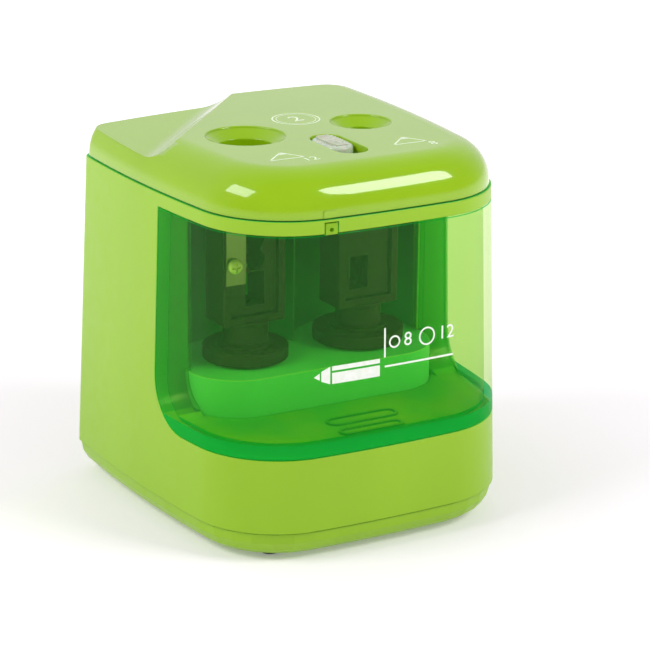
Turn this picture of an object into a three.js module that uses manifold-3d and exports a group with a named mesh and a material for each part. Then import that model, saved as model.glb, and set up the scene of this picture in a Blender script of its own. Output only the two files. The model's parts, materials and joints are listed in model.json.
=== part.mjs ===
// Battery pencil sharpener with two holes: case, lid, base, clear shavings bin, two rotating
// cutters, gear train, motor, four cells and a slide switch.
// Millimetres, +Z up. The origin is on the surface it stands on, under the middle of the case.
// The front, with the bin, faces -Y.
import * as THREE from 'three';
import { mergeVertices } from 'three/addons/utils/BufferGeometryUtils.js';
import Module from 'manifold-3d';

const wasm = await Module();
wasm.setup();

// ---- Driving dimensions ---------------------------------------------------------------------

// Case. Its four faces are shallow arcs that lean in towards the lid.
const CASE_WIDTH = 84.7;
const CASE_DEPTH = 87;
const TOTAL_HEIGHT = 92;
const BASE_SEAM_Z = 7.4;
const LID_SEAM_Z = 81.4;
const SIDE_LEAN = 2.35;
const FRONT_LEAN = 1.4;
const BACK_LEAN = 2.8;
const FRONT_ARC = 320;
const SIDE_ARC = 339;
const BACK_ARC = 330;
const SIDE_ARC_Y = 19.1;
const FRONT_CORNER = 22.5;
const BACK_CORNER = 4.5;
const WALL = 2.2;
const GAP = 0.3;

// Lid
const LID_INSET = 0.5;
const LID_SIDE_HEIGHT = 0.9;
const LID_FILLET = 9.3;
const LID_BACK_EDGE = 1.6;
const LIP_HEIGHT = 2.2;
const LIP_WALL = 1.2;
const SCOOP_DROP = 3.8;
const SCOOP_RUN = 8;
const SCOOP_STEEPEST = 4.2;
const SCOOP_CREST_Y = 34.7;
const SCOOP_ANGLE = 45.6;
const SCOOP_RISE = 0.03;

// Pencil holes and cutters
const HOLE_SPACING = 31.2;
const HOLE_Y = -1.8;
const LARGE_BORE = 6.6;
const SMALL_BORE = 4.5;
const LARGE_MOUTH = 9.57;
const SMALL_MOUTH = 7.45;
const MOUTH_DEPTH = 2.3;
const GUIDE_WALL = 1.3;
const GUIDE_LENGTH = 15;
const COLLAR_DEPTH = 1.5;
const HOLDER_CLEARANCE = 4;
const LARGE_DISC = 10.4;
const SMALL_DISC = 11.2;
const DISC_HEIGHT = 3.4;
const NECK_RADIUS = 5.6;
const NECK_HEIGHT = 6;
const HOLDER_WIDTH = 16.7;
const HOLDER_DEPTH = 10;
const CHEEK = 2;
const BLOCK_SETBACK = 0.8;
const POINT_RADIUS = 0.8;
const POINT_MARGIN = 0.4;
const CHIP_WINDOW_WIDTH = 5;
const CHIP_WINDOW_HEIGHT = 8.2;
const CHIP_WINDOW_OFFSET = 0.3;
const CHIP_WINDOW_RISE = 2.2;
const BLADE_THICKNESS = 0.6;
const BLADE_WIDTH = 5.4;
const BLADE_LENGTH = 14.3;
const BLADE_SETBACK = 0.2;
const BLADE_SCREW_HEAD = 1.85;
const BLADE_SCREW_HEAD_HEIGHT = 0.6;
const BLADE_SCREW_RADIUS = 1;
const BLADE_SCREW_LENGTH = 4;
const BLADE_SCREW_OFFSET = 6.2;
const BLADE_SCREW_DROP = 10.5;

// Bin and its window
const BIN_REAR_Y = -3.6;
const BIN_DROP = 11.6;
const WINDOW_STRIP = 3.4;
const BIN_CORNER = 12.3;
const BIN_WALL = 2;
const BIN_FLOOR = 2.4;
const BIN_GAP = 0.3;
const POCKET_WALL = 1.8;
const LATCH_X = -15;
const LATCH_WIDTH = 3;
const LATCH_HEIGHT = 2.6;

// Gearbox: a deck with a skirt over a lower plate
const DECK_THICKNESS = 2.3;
const SKIRT_FRONT_Y = -17.8;
const SKIRT_CORNER = 13;
const SKIRT_MARGIN = 0.7;
const SKIRT_WALL = 1.8;
const DECK_SHOULDER = 3.6;
const DECK_BEHIND_MOTOR = 2.1;
const PLATE_CLEARANCE = 1;
const LOWER_PLATE_THICKNESS = 2;
const CHAMBER_RADIUS = 16.1;
const CHAMBER_WALL = 1.4;
const RUNNING_GAP = 0.4;

// Gear train
const CUTTER_MODULE = 0.8;
const CUTTER_TEETH = 30;
const IDLER_TEETH = 16;
const FAST_MODULE = 0.6;
const WHEEL_TEETH = 44;
const PINION_TEETH = 10;
const CUTTER_GEAR_HEIGHT = 5;
const WHEEL_CLEARANCE = 1.9;
const GEAR_STEP = 1.6;
const WHEEL_HEIGHT = 4;
const SPINDLE_RADIUS = 2.6;
const PIVOT_RADIUS = 1.6;
const AXLE_RADIUS = 1.5;

// Motor
const MOTOR_RADIUS = 10.05;
const MOTOR_FLAT = 7.7;
const MOTOR_HEIGHT = 25;
const MOTOR_SHAFT = 1;
const MOTOR_BOSS = 3.1;
const CRADLE_WALL = 2;
const CRADLE_HEIGHT = 9;
const CRADLE_END = 3;
const TERMINAL_WIDTH = 2.4;
const TERMINAL_HEIGHT = 3;
const TERMINAL_SETBACK = 2.5;

// Cells, contacts and battery bay
const CELL_RADIUS = 7.1;
const CELL_LENGTH = 49.2;
const CELL_NUB = 1.2;
const CELL_NUB_RADIUS = 2.6;
const CELL_GAP = 0.25;
const CELLS = 4;
const SPRING_LENGTH = 5;
const SPRING_RADIUS = 4.6;
const SPRING_TAPER = 2;
const SPRING_TURNS = 3;
const SPRING_WIRE = 0.35;
const CONTACT = 0.5;
const CONTACT_WIDTH = 10;
const CONTACT_HEIGHT = 9;
const BAY_FRONT_Y = -26.6;
const BAY_WALL = 0.8;
const BAY_WALL_TOP_Z = 14;

// Base, door, feet and case screws
const BASE_BOTTOM_Z = 0.9;
const BASE_FLOOR_TOP_Z = 3.4;
const BASE_ROUND = 6.2;
const BASE_INSET = 0.5;
const DOOR_THICKNESS = 1.8;
const DOOR_TONGUE = 0.6;
const DOOR_TONGUE_RISE = 0.7;
const DOOR_TONGUE_DROP = 0.2;
const FOOT_RADIUS = 2.5;
const FOOT_SINK = 1.2;
const FOOT_FROM_SIDE = 17.35;
const FOOT_FROM_FRONT = 11.7;
const SCREW_RADIUS = 1.2;
const SCREW_HEAD = 2.2;
const SCREW_LENGTH = 13;
const SCREW_SEAT_DEPTH = 1.6;
const POST_RADIUS = 2.6;
const POST_FROM_LIP = 2.8;
const POST_RIB = 1.6;

// Slide switch
const SLOT_WIDTH = 7.8;
const SLOT_LENGTH = 19;
const SLOT_Y = -18.4;
const KNOB_LENGTH = 12.4;
const KNOB_STEM = 3;
const KNOB_STEM_SINK = 3;
const KNOB_RIB_WIDTH = 0.7;
const KNOB_RIB_HEIGHT = 0.3;
const KNOB_RIB_PITCH = 1.7;
const SWITCH_WIDTH = 11;
const SWITCH_HEIGHT = 6;
const SWITCH_DEPTH = 8.4;

// ---- Solids ---------------------------------------------------------------------------------

// A closed geometry as a solid that can be joined and cut.
function solid(geometry) {
  const bare = geometry.clone();
  bare.deleteAttribute('normal');
  bare.deleteAttribute('uv');
  const merged = mergeVertices(bare, 1e-5);
  const triVerts = merged.index
    ? Uint32Array.from(merged.index.array)
    : Uint32Array.from({ length: merged.attributes.position.count }, (_, i) => i);
  const vertProperties = Float32Array.from(merged.attributes.position.array);
  return new wasm.Manifold(new wasm.Mesh({ numProp: 3, vertProperties, triVerts }));
}

function geometryOf(shape) {
  const mesh = shape.getMesh();
  const geometry = new THREE.BufferGeometry();
  geometry.setAttribute('position', new THREE.BufferAttribute(Float32Array.from(mesh.vertProperties), 3));
  geometry.setIndex(new THREE.BufferAttribute(Uint32Array.from(mesh.triVerts), 1));
  geometry.computeVertexNormals();
  return geometry;
}

const joined = (first, ...others) => others.reduce((sum, other) => sum.add(other), first);
const cut = (first, ...others) => others.reduce((sum, other) => sum.subtract(other), first);
const common = (first, ...others) => others.reduce((sum, other) => sum.intersect(other), first);

// Boxes and round solids stand on z, with their middle at x, y.
function box(width, depth, height, x, y, z) {
  return solid(new THREE.BoxGeometry(width, depth, height).translate(x, y, z + height / 2));
}

function cone(bottom, top, height, x, y, z, sides = 28) {
  const geometry = new THREE.CylinderGeometry(top, bottom, height, sides);
  return solid(geometry.rotateX(Math.PI / 2).translate(x, y, z + height / 2));
}

function rod(radius, height, x, y, z, sides = 28) {
  return cone(radius, radius, height, x, y, z, sides);
}

function prismZ(points, z0, z1) {
  const geometry = new THREE.ExtrudeGeometry(new THREE.Shape(points), { depth: z1 - z0, bevelEnabled: false });
  return solid(geometry.translate(0, 0, z0));
}

// An outline given in Y and Z, drawn out along X.
function prismX(points, x0, x1) {
  const geometry = new THREE.ExtrudeGeometry(new THREE.Shape(points), { depth: x1 - x0, bevelEnabled: false });
  const axes = new THREE.Matrix4().makeBasis(
    new THREE.Vector3(0, 1, 0), new THREE.Vector3(0, 0, 1), new THREE.Vector3(1, 0, 0));
  return solid(geometry.translate(0, 0, x0).applyMatrix4(axes));
}

// A round profile of [radius, height] pairs, turned about the vertical line through x, y.
function turned(profile, x, y, sides = 24) {
  const points = profile.map(([radius, height]) => new THREE.Vector2(radius, height));
  return solid(new THREE.LatheGeometry(points, sides).rotateX(Math.PI / 2).translate(x, y, 0));
}

// Rings of equal length, joined into one closed skin with a flat cap at each end.
function loft(rings) {
  const count = rings[0].length;
  const positions = rings.flat().flatMap((point) => [point.x, point.y, point.z]);
  const index = [];
  for (let level = 0; level + 1 < rings.length; level += 1) {
    for (let i = 0; i < count; i += 1) {
      const a = level * count + i;
      const b = level * count + (i + 1) % count;
      index.push(a, b, b + count, a, b + count, a + count);
    }
  }
  const cap = (ring) => THREE.ShapeUtils.triangulateShape(ring.map((p) => new THREE.Vector2(p.x, p.y)), []);
  const last = (rings.length - 1) * count;
  cap(rings[0]).forEach(([a, b, c]) => index.push(a, c, b));
  cap(rings[rings.length - 1]).forEach(([a, b, c]) => index.push(last + a, last + b, last + c));
  const geometry = new THREE.BufferGeometry();
  geometry.setAttribute('position', new THREE.Float32BufferAttribute(positions, 3));
  geometry.setIndex(index);
  return solid(geometry);
}

function arc(cx, cy, radius, from, to, steps) {
  const points = [];
  for (let i = 0; i <= steps; i += 1) {
    const angle = from + (to - from) * i / steps;
    points.push(new THREE.Vector2(cx + radius * Math.cos(angle), cy + radius * Math.sin(angle)));
  }
  return points;
}

// ---- Case outline ---------------------------------------------------------------------------

// Where two circles round a and b cross, on the right, at the lower or the upper crossing.
function crossing(a, radiusA, b, radiusB, upper) {
  const between = b.clone().sub(a);
  const distance = between.length();
  const along = (radiusA ** 2 - radiusB ** 2 + distance ** 2) / (2 * distance);
  const across = Math.sqrt(Math.max(radiusA ** 2 - along ** 2, 0));
  const unit = between.divideScalar(distance);
  const middle = a.clone().addScaledVector(unit, along);
  const normal = new THREE.Vector2(-unit.y, unit.x).multiplyScalar(across);
  const choices = [middle.clone().add(normal), middle.clone().sub(normal)].sort((p, q) => p.y - q.y);
  return choices[upper ? 1 : 0];
}

const angleTo = (from, to) => Math.atan2(to.y - from.y, to.x - from.x);

// The case's outline at height z, moved inwards by inset (and at the back by backInset).
function ring(z, inset = 0, backInset = inset, backCorner = BACK_CORNER - inset) {
  const lean = (z - BASE_SEAM_Z) / (LID_SEAM_Z - BASE_SEAM_Z);
  const halfWidth = CASE_WIDTH / 2 - SIDE_LEAN * lean;
  const frontY = -CASE_DEPTH / 2 + FRONT_LEAN * lean;
  const backY = CASE_DEPTH / 2 - BACK_LEAN * lean;
  const front = new THREE.Vector2(0, frontY + FRONT_ARC);
  const side = new THREE.Vector2(halfWidth - SIDE_ARC, SIDE_ARC_Y);
  const back = new THREE.Vector2(0, backY - BACK_ARC);
  const frontRadius = FRONT_ARC - inset;
  const sideRadius = SIDE_ARC - inset;
  const backRadius = BACK_ARC - backInset;
  const r1 = Math.max(FRONT_CORNER - inset, 1);
  const r2 = Math.max(backCorner, 1);
  const c1 = crossing(front, frontRadius - r1, side, sideRadius - r1, false);
  const c2 = crossing(back, backRadius - r2, side, sideRadius - r2, true);
  const a1 = angleTo(front, c1);
  const a2 = angleTo(side, c1);
  const a3 = angleTo(side, c2);
  const a4 = angleTo(back, c2);
  const half = [
    ...arc(front.x, front.y, frontRadius, -Math.PI / 2, a1, 3),
    ...arc(c1.x, c1.y, r1, a1, a2, 6).slice(1),
    ...arc(side.x, side.y, sideRadius, a2, a3, 4).slice(1),
    ...arc(c2.x, c2.y, r2, a3, a4, 3).slice(1),
    ...arc(back.x, back.y, backRadius, a4, Math.PI / 2, 3).slice(1),
  ];
  const mirrored = half.slice(1, -1).reverse().map((p) => new THREE.Vector2(-p.x, p.y));
  return [...half, ...mirrored].map((p) => new THREE.Vector3(p.x, p.y, z));
}

// ---- Derived places -------------------------------------------------------------------------

const SIDES = [-1, 1];
const HOLE_X = HOLE_SPACING / 2;
const FLOOR_Z = BASE_BOTTOM_Z;
const CHAMBER_HALF_WIDTH = HOLE_X + CHAMBER_RADIUS;
const SKIRT_HALF_WIDTH = CHAMBER_HALF_WIDTH + SKIRT_MARGIN;
const DECK_HALF_WIDTH = SKIRT_HALF_WIDTH + DECK_SHOULDER;

// The stack from the cells up to the cutters.
const CELL_PITCH = 2 * CELL_RADIUS + CELL_GAP;
const CELL_Z = BASE_FLOOR_TOP_Z + GAP + CELL_RADIUS;
const LOWER_PLATE_Z = CELL_Z + CELL_RADIUS + PLATE_CLEARANCE;
const LOWER_PLATE_TOP_Z = LOWER_PLATE_Z + LOWER_PLATE_THICKNESS;
const WHEEL_Z = LOWER_PLATE_TOP_Z + WHEEL_CLEARANCE;
const CUTTER_GEAR_Z = WHEEL_Z + WHEEL_HEIGHT + GEAR_STEP;
const DECK_BOTTOM_Z = CUTTER_GEAR_Z + CUTTER_GEAR_HEIGHT + GEAR_STEP;
const DECK_TOP_Z = DECK_BOTTOM_Z + DECK_THICKNESS;
const BIN_BOTTOM_Z = DECK_TOP_Z - BIN_DROP;
const BIN_TOP_Z = LID_SEAM_Z - WINDOW_STRIP;

const CUTTER_PITCH = CUTTER_MODULE * CUTTER_TEETH / 2;
const IDLER_PITCH = CUTTER_MODULE * IDLER_TEETH / 2;
const WHEEL_PITCH = FAST_MODULE * WHEEL_TEETH / 2;
const PINION_PITCH = FAST_MODULE * PINION_TEETH / 2;
const IDLER_Y = HOLE_Y + Math.sqrt((CUTTER_PITCH + IDLER_PITCH) ** 2 - HOLE_X ** 2);
const MOTOR_Y = IDLER_Y + WHEEL_PITCH + PINION_PITCH;
const MOTOR_Z = DECK_TOP_Z + GAP;
const DECK_BACK_Y = MOTOR_Y + MOTOR_FLAT + DECK_BEHIND_MOTOR;

const BAY_HALF_WIDTH = (CELLS - 1) * CELL_PITCH / 2 + CELL_RADIUS + GAP;
const BAY_LENGTH = CELL_LENGTH + CELL_NUB + SPRING_LENGTH + 2 * CONTACT + 4 * GAP;
const BAY_BACK_Y = BAY_FRONT_Y + BAY_LENGTH;
const DOOR_HALF_WIDTH = BAY_HALF_WIDTH - GAP;
const DOOR_TOP_Z = FLOOR_Z + DOOR_THICKNESS;
const TONGUE_BOTTOM_Z = FLOOR_Z + DOOR_TONGUE_RISE;
const TONGUE_TOP_Z = DOOR_TOP_Z - DOOR_TONGUE_DROP;

const LID_BOTTOM_Z = LID_SEAM_Z + GAP;
const LID_WALL = WALL + GAP + LIP_WALL / 3 - LID_INSET;
const GUIDE_BOTTOM_Z = TOTAL_HEIGHT - GUIDE_LENGTH;
const HOLDER_TOP_Z = GUIDE_BOTTOM_Z - HOLDER_CLEARANCE;
const SWITCH_TOP_Z = TOTAL_HEIGHT - SWITCH_DEPTH;

// Screws and rear feet stand beside the battery bay, the front feet in the front corners.
const SCREW_X = BAY_HALF_WIDTH + BAY_WALL + POST_RADIUS + GAP;
const FOOT_X = DOOR_HALF_WIDTH + DOOR_TONGUE + 2.5 * GAP + FOOT_RADIUS;
const BACK_SCREW_Y = CASE_DEPTH / 2 - WALL - LIP_WALL - POST_RADIUS - POST_FROM_LIP;
const SCREW_PLACES = SIDES.flatMap((side) => [
  [side * SCREW_X, BIN_REAR_Y - BIN_CORNER - GAP / 2],
  [side * SCREW_X, BACK_SCREW_Y],
]);
const FOOT_PLACES = SIDES.flatMap((side) => [
  [side * (CASE_WIDTH / 2 - FOOT_FROM_SIDE), -CASE_DEPTH / 2 + FOOT_FROM_FRONT],
  [side * FOOT_X, BACK_SCREW_Y - SCREW_HEAD - FOOT_RADIUS - 10 * GAP],
]);

// ---- Materials ------------------------------------------------------------------------------

const plastic = (color, roughness = 0.35) => new THREE.MeshStandardMaterial({ color, roughness, metalness: 0 });
const metal = (color, roughness = 0.3) => new THREE.MeshStandardMaterial({ color, roughness, metalness: 1 });

const GREEN = 0x9bc63e;
const LID_GREEN = 0x96c323;
const CLEAR_GREEN = 0x5ab230;
const DARK = 0x26331c;
const BLACK = 0x1c1c1c;
const STEEL = 0xb8bcc0;
const GEAR_WHITE = 0xe8e6dc;
const KNOB_WHITE = 0xd7decd;
const BRASS = 0xc9a24a;

const model = new THREE.Group();
model.name = 'pencil_sharpener';

function add(name, shape, material) {
  const mesh = new THREE.Mesh(geometryOf(shape), material);
  mesh.name = name;
  model.add(mesh);
}

// ---- Case, lid and bin ----------------------------------------------------------------------

// The bin's side view in Y and Z, open to the front: its lower back corner is round.
function binSideView(grow, topZ) {
  const rear = BIN_REAR_Y + grow;
  const bottom = BIN_BOTTOM_Z - grow;
  const radius = BIN_CORNER + grow;
  const front = -CASE_DEPTH;
  return [
    new THREE.Vector2(front, bottom),
    ...arc(rear - radius, bottom + radius, radius, -Math.PI / 2, 0, 8),
    new THREE.Vector2(rear, topZ),
    new THREE.Vector2(front, topZ),
  ];
}

// The gearbox's outline from above: narrow and round at the front, wide at the back.
function gearboxOutline(grow) {
  const narrow = SKIRT_HALF_WIDTH + grow;
  const wide = DECK_HALF_WIDTH + grow;
  const front = SKIRT_FRONT_Y - grow;
  const radius = SKIRT_CORNER + grow;
  const shoulder = BIN_REAR_Y + BIN_GAP + POCKET_WALL + GAP - grow;
  const right = [
    ...arc(narrow - radius, front + radius, radius, -Math.PI / 2, 0, 6),
    new THREE.Vector2(narrow, shoulder),
    new THREE.Vector2(wide, shoulder),
    new THREE.Vector2(wide, DECK_BACK_Y + grow),
  ];
  return [...right, ...right.slice().reverse().map((p) => new THREE.Vector2(-p.x, p.y))];
}

function caseInside(inset, bottom, top) {
  return loft([ring(bottom, inset), ring(top, inset)]);
}

// The wall behind the bin and the shelf under it, inside the case.
function binPocket() {
  const outer = prismX(binSideView(BIN_GAP + POCKET_WALL, LID_SEAM_Z - GAP), -CASE_WIDTH, CASE_WIDTH);
  const inner = prismX(binSideView(BIN_GAP, TOTAL_HEIGHT), -CASE_WIDTH, CASE_WIDTH);
  const band = common(cut(outer, inner), caseInside(WALL / 2, BASE_SEAM_Z + GAP, LID_SEAM_Z - LIP_HEIGHT - 2 * GAP));
  const shelfTop = BIN_BOTTOM_Z - BIN_GAP;
  const gearboxRoom = prismZ(gearboxOutline(GAP), shelfTop, DECK_TOP_Z + GAP);
  const chamberRoom = box(2 * CHAMBER_HALF_WIDTH, CASE_DEPTH, TOTAL_HEIGHT, 0, 0, DECK_TOP_Z);
  return cut(band, gearboxRoom, chamberRoom);
}

// Screw posts, each tied to the wall by a rib.
function casePosts() {
  const parts = SCREW_PLACES.map(([x, y]) => {
    const bottom = BASE_SEAM_Z + GAP;
    const height = BIN_BOTTOM_Z - bottom;
    const reach = CASE_WIDTH / 2 - WALL / 2 - Math.abs(x);
    const ribBottom = BASE_SEAM_Z + LIP_HEIGHT + 2 * GAP;
    const rib = box(reach, POST_RIB, BIN_BOTTOM_Z - ribBottom, x + Math.sign(x) * reach / 2, y, ribBottom);
    return joined(rod(POST_RADIUS, height, x, y, bottom, 14), rib);
  });
  return joined(...parts);
}

function caseScrewHoles() {
  const parts = SCREW_PLACES.map(([x, y]) => (
    rod(SCREW_RADIUS + GAP, SCREW_LENGTH + 2 * GAP, x, y, FLOOR_Z, 12)));
  return joined(...parts);
}

function bodyShell() {
  const outer = loft([ring(BASE_SEAM_Z + GAP), ring(LID_SEAM_Z)]);
  const window = prismX(binSideView(BIN_GAP, BIN_TOP_Z + BIN_GAP), -CASE_WIDTH, CASE_WIDTH);
  const notchDepth = 2 * (FRONT_LEAN + WALL + 1);
  const notch = box(LATCH_WIDTH + 2 * GAP, notchDepth, LATCH_HEIGHT + GAP, LATCH_X, -CASE_DEPTH / 2, BIN_TOP_Z);
  const walls = cut(outer, caseInside(WALL, 0, TOTAL_HEIGHT), window, notch);
  const posts = common(casePosts(), caseInside(WALL / 2, BASE_SEAM_Z, LID_SEAM_Z));
  const inside = joined(binPocket(), posts);
  return cut(joined(walls, inside), caseScrewHoles());
}

// Lid rings from its lower edge to the flat top; the back edge is tighter than the others.
function lidRings(shrink, lowest) {
  const base = LID_INSET + shrink;
  const shoulderZ = TOTAL_HEIGHT - LID_FILLET;
  const rings = [ring(lowest, base, base, BACK_CORNER)];
  const steps = 4;
  for (let i = 0; i <= steps; i += 1) {
    const angle = Math.PI / 2 * i / steps;
    const inset = base + (LID_FILLET - shrink) * (1 - Math.cos(angle));
    const backInset = base + LID_BACK_EDGE * (1 - Math.cos(angle)) ** 2;
    rings.push(ring(shoulderZ + (LID_FILLET - shrink) * Math.sin(angle), inset, backInset, BACK_CORNER));
  }
  return rings;
}

// The hollow swept out of the lid's back left corner: a steep concave rise up to the flat top.
function scoop(shrink) {
  const top = TOTAL_HEIGHT - shrink;
  const rise = new THREE.QuadraticBezierCurve(
    new THREE.Vector2(-shrink, top),
    new THREE.Vector2(SCOOP_STEEPEST - shrink, top - SCOOP_DROP),
    new THREE.Vector2(SCOOP_RUN - shrink, top - SCOOP_DROP));
  const far = CASE_DEPTH;
  const outline = [
    ...rise.getPoints(7),
    new THREE.Vector2(far, top - SCOOP_DROP),
    new THREE.Vector2(far, top + far / 4),
    new THREE.Vector2(-shrink - far / 4, top + far / 4),
  ];
  const geometry = new THREE.ExtrudeGeometry(new THREE.Shape(outline), { depth: 2 * far, bevelEnabled: false });
  const angle = THREE.MathUtils.degToRad(SCOOP_ANGLE);
  const alongCrest = new THREE.Vector3(Math.cos(angle), Math.sin(angle), SCOOP_RISE);
  const away = new THREE.Vector3(-Math.sin(angle), Math.cos(angle), 0);
  const axes = new THREE.Matrix4().makeBasis(away, new THREE.Vector3(0, 0, 1), alongCrest);
  geometry.translate(0, 0, -far).applyMatrix4(axes);
  const crestMiddle = new THREE.Vector2(-SCOOP_CREST_Y / 2, SCOOP_CREST_Y / 2);
  return solid(geometry.translate(crestMiddle.x, crestMiddle.y, 0));
}

function stadium(width, length, x, y) {
  const radius = width / 2;
  const reach = (length - width) / 2;
  return [...arc(x, y + reach, radius, 0, Math.PI, 8), ...arc(x, y - reach, radius, Math.PI, 2 * Math.PI, 8)];
}

function pencilHole(x, bore, mouth) {
  const mouthCut = cone(bore, mouth, MOUTH_DEPTH, x, HOLE_Y, TOTAL_HEIGHT - MOUTH_DEPTH, 28);
  const bump = rod(mouth, MOUTH_DEPTH, x, HOLE_Y, TOTAL_HEIGHT, 28);
  return joined(mouthCut, bump, rod(bore, TOTAL_HEIGHT, x, HOLE_Y, 0, 28));
}

function topCover() {
  const outer = loft(lidRings(0, LID_BOTTOM_Z));
  const hollow = cut(loft(lidRings(LID_WALL, LID_BOTTOM_Z - GAP)), scoop(LID_WALL));
  const lipZ = LID_SEAM_Z - LIP_HEIGHT;
  const lipTop = LID_BOTTOM_Z + LID_SIDE_HEIGHT;
  const lipOuter = loft([ring(lipZ, WALL + GAP), ring(lipTop, WALL + GAP)]);
  const lipInner = loft([ring(lipZ - 1, WALL + GAP + LIP_WALL), ring(lipTop + 1, WALL + GAP + LIP_WALL)]);
  const guideHeight = GUIDE_LENGTH - LID_WALL + GAP;
  const guides = [[-HOLE_X, LARGE_BORE], [HOLE_X, SMALL_BORE]].map(([x, bore]) => (
    rod(bore + GUIDE_WALL, guideHeight, x, HOLE_Y, GUIDE_BOTTOM_Z, 24)));
  const mouths = [[-HOLE_X, LARGE_MOUTH], [HOLE_X, SMALL_MOUTH]].map(([x, mouth]) => (
    rod(mouth + GUIDE_WALL, LID_WALL + COLLAR_DEPTH - GAP, x, HOLE_Y, TOTAL_HEIGHT - LID_WALL - COLLAR_DEPTH, 24)));
  const skin = cut(joined(cut(outer, hollow), cut(lipOuter, lipInner), ...guides, ...mouths), scoop(0));
  const slot = prismZ(stadium(SLOT_WIDTH, SLOT_LENGTH, 0, SLOT_Y), LID_SEAM_Z, TOTAL_HEIGHT + 1);
  const holes = [pencilHole(-HOLE_X, LARGE_BORE, LARGE_MOUTH), pencilHole(HOLE_X, SMALL_BORE, SMALL_MOUTH)];
  return cut(skin, slot, ...holes);
}

function shavingsBin() {
  const outside = common(
    loft([ring(BIN_BOTTOM_Z), ring(BIN_TOP_Z)]),
    prismX(binSideView(0, BIN_TOP_Z), -CASE_WIDTH, CASE_WIDTH));
  const hollow = common(
    caseInside(BIN_WALL, 0, TOTAL_HEIGHT),
    prismX(binSideView(-BIN_WALL, TOTAL_HEIGHT), -CASE_WIDTH, CASE_WIDTH),
    box(2 * CASE_WIDTH, 2 * CASE_DEPTH, TOTAL_HEIGHT, 0, 0, BIN_BOTTOM_Z + BIN_FLOOR));
  const opening = box(2 * (CHAMBER_HALF_WIDTH + GAP), CASE_DEPTH, TOTAL_HEIGHT, 0, 0, BIN_BOTTOM_Z + BIN_FLOOR);
  const rearOpening = common(opening, caseInside(BIN_WALL, 0, TOTAL_HEIGHT));
  const gearbox = prismZ(gearboxOutline(RUNNING_GAP), 0, DECK_TOP_Z + RUNNING_GAP);
  const tabRoom = loft([ring(BIN_TOP_Z - 1), ring(LID_SEAM_Z)]);
  const tabBar = box(LATCH_WIDTH, WALL * 2, LATCH_HEIGHT + 1, LATCH_X, -CASE_DEPTH / 2 + WALL, BIN_TOP_Z - 1);
  const tab = cut(common(tabRoom, tabBar), caseInside(BIN_WALL, 0, TOTAL_HEIGHT));
  return joined(cut(outside, hollow, rearOpening, gearbox), tab);
}

// ---- Base, door, feet and screws ------------------------------------------------------------

function baseOutside() {
  const steps = 4;
  const rings = [];
  const height = BASE_SEAM_Z - FLOOR_Z;
  for (let i = 0; i <= steps; i += 1) {
    const angle = Math.PI / 2 * i / steps;
    const inset = BASE_INSET + BASE_ROUND * (1 - Math.sin(angle));
    rings.push(ring(FLOOR_Z + height * (1 - Math.cos(angle)), inset));
  }
  return loft(rings);
}

function doorRoom(grow, backY) {
  const depth = backY - BAY_FRONT_Y + grow;
  const middleY = (backY + BAY_FRONT_Y - grow) / 2;
  const tongueHeight = TONGUE_TOP_Z - TONGUE_BOTTOM_Z + 2 * grow;
  return joined(
    box(2 * (DOOR_HALF_WIDTH + grow), depth, DOOR_THICKNESS + grow + 1, 0, middleY, FLOOR_Z - 1),
    box(2 * (DOOR_HALF_WIDTH + DOOR_TONGUE + grow), depth, tongueHeight, 0, middleY, TONGUE_BOTTOM_Z - grow));
}

function basePlate() {
  const hollow = loft([
    ring(BASE_FLOOR_TOP_Z, WALL + BASE_INSET + 2.6),
    ring(BASE_SEAM_Z - 2, WALL + BASE_INSET),
    ring(BASE_SEAM_Z + 1, WALL + BASE_INSET)]);
  const lip = cut(
    loft([ring(BASE_SEAM_Z - 1, WALL + GAP), ring(BASE_SEAM_Z + LIP_HEIGHT, WALL + GAP)]),
    caseInside(WALL + GAP + LIP_WALL, 0, TOTAL_HEIGHT));
  const bayHeight = BAY_WALL_TOP_Z - BASE_FLOOR_TOP_Z + GAP;
  const bayMiddle = (BAY_FRONT_Y + BAY_BACK_Y) / 2;
  const bayOuter = box(2 * (BAY_HALF_WIDTH + BAY_WALL), BAY_LENGTH + 2 * BAY_WALL, bayHeight, 0, bayMiddle,
    BASE_FLOOR_TOP_Z - GAP);
  const bayInner = box(2 * BAY_HALF_WIDTH, BAY_LENGTH, TOTAL_HEIGHT, 0, bayMiddle, 0);
  const footPockets = FOOT_PLACES.map(([x, y]) => (
    rod(FOOT_RADIUS + GAP, FOOT_SINK + GAP + 1, x, y, FLOOR_Z - 1, 16)));
  const screwSeats = SCREW_PLACES.map(([x, y]) => joined(
    rod(SCREW_HEAD + GAP, SCREW_SEAT_DEPTH + 1, x, y, FLOOR_Z - 1, 14),
    rod(SCREW_RADIUS + GAP, TOTAL_HEIGHT / 2, x, y, FLOOR_Z, 12)));
  const screwBosses = SCREW_PLACES.map(([x, y]) => (
    rod(POST_RADIUS, BASE_SEAM_Z - 2 * GAP - BASE_FLOOR_TOP_Z, x, y, BASE_FLOOR_TOP_Z - GAP, 14)));
  const shell = joined(cut(baseOutside(), hollow), lip, bayOuter, ...screwBosses);
  return cut(shell, bayInner, doorRoom(GAP, CASE_DEPTH), ...footPockets, ...screwSeats);
}

function batteryDoor() {
  const leaf = box(CASE_WIDTH, 2 * CASE_DEPTH, DOOR_THICKNESS, 0, 0, FLOOR_Z);
  return common(baseOutside(), doorRoom(0, CASE_DEPTH), leaf);
}

function foot(x, y) {
  return turned([[0, 0], [FOOT_RADIUS - 0.4, 0], [FOOT_RADIUS, 0.4], [FOOT_RADIUS, FLOOR_Z + FOOT_SINK],
    [0, FLOOR_Z + FOOT_SINK]], x, y, 20);
}

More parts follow.
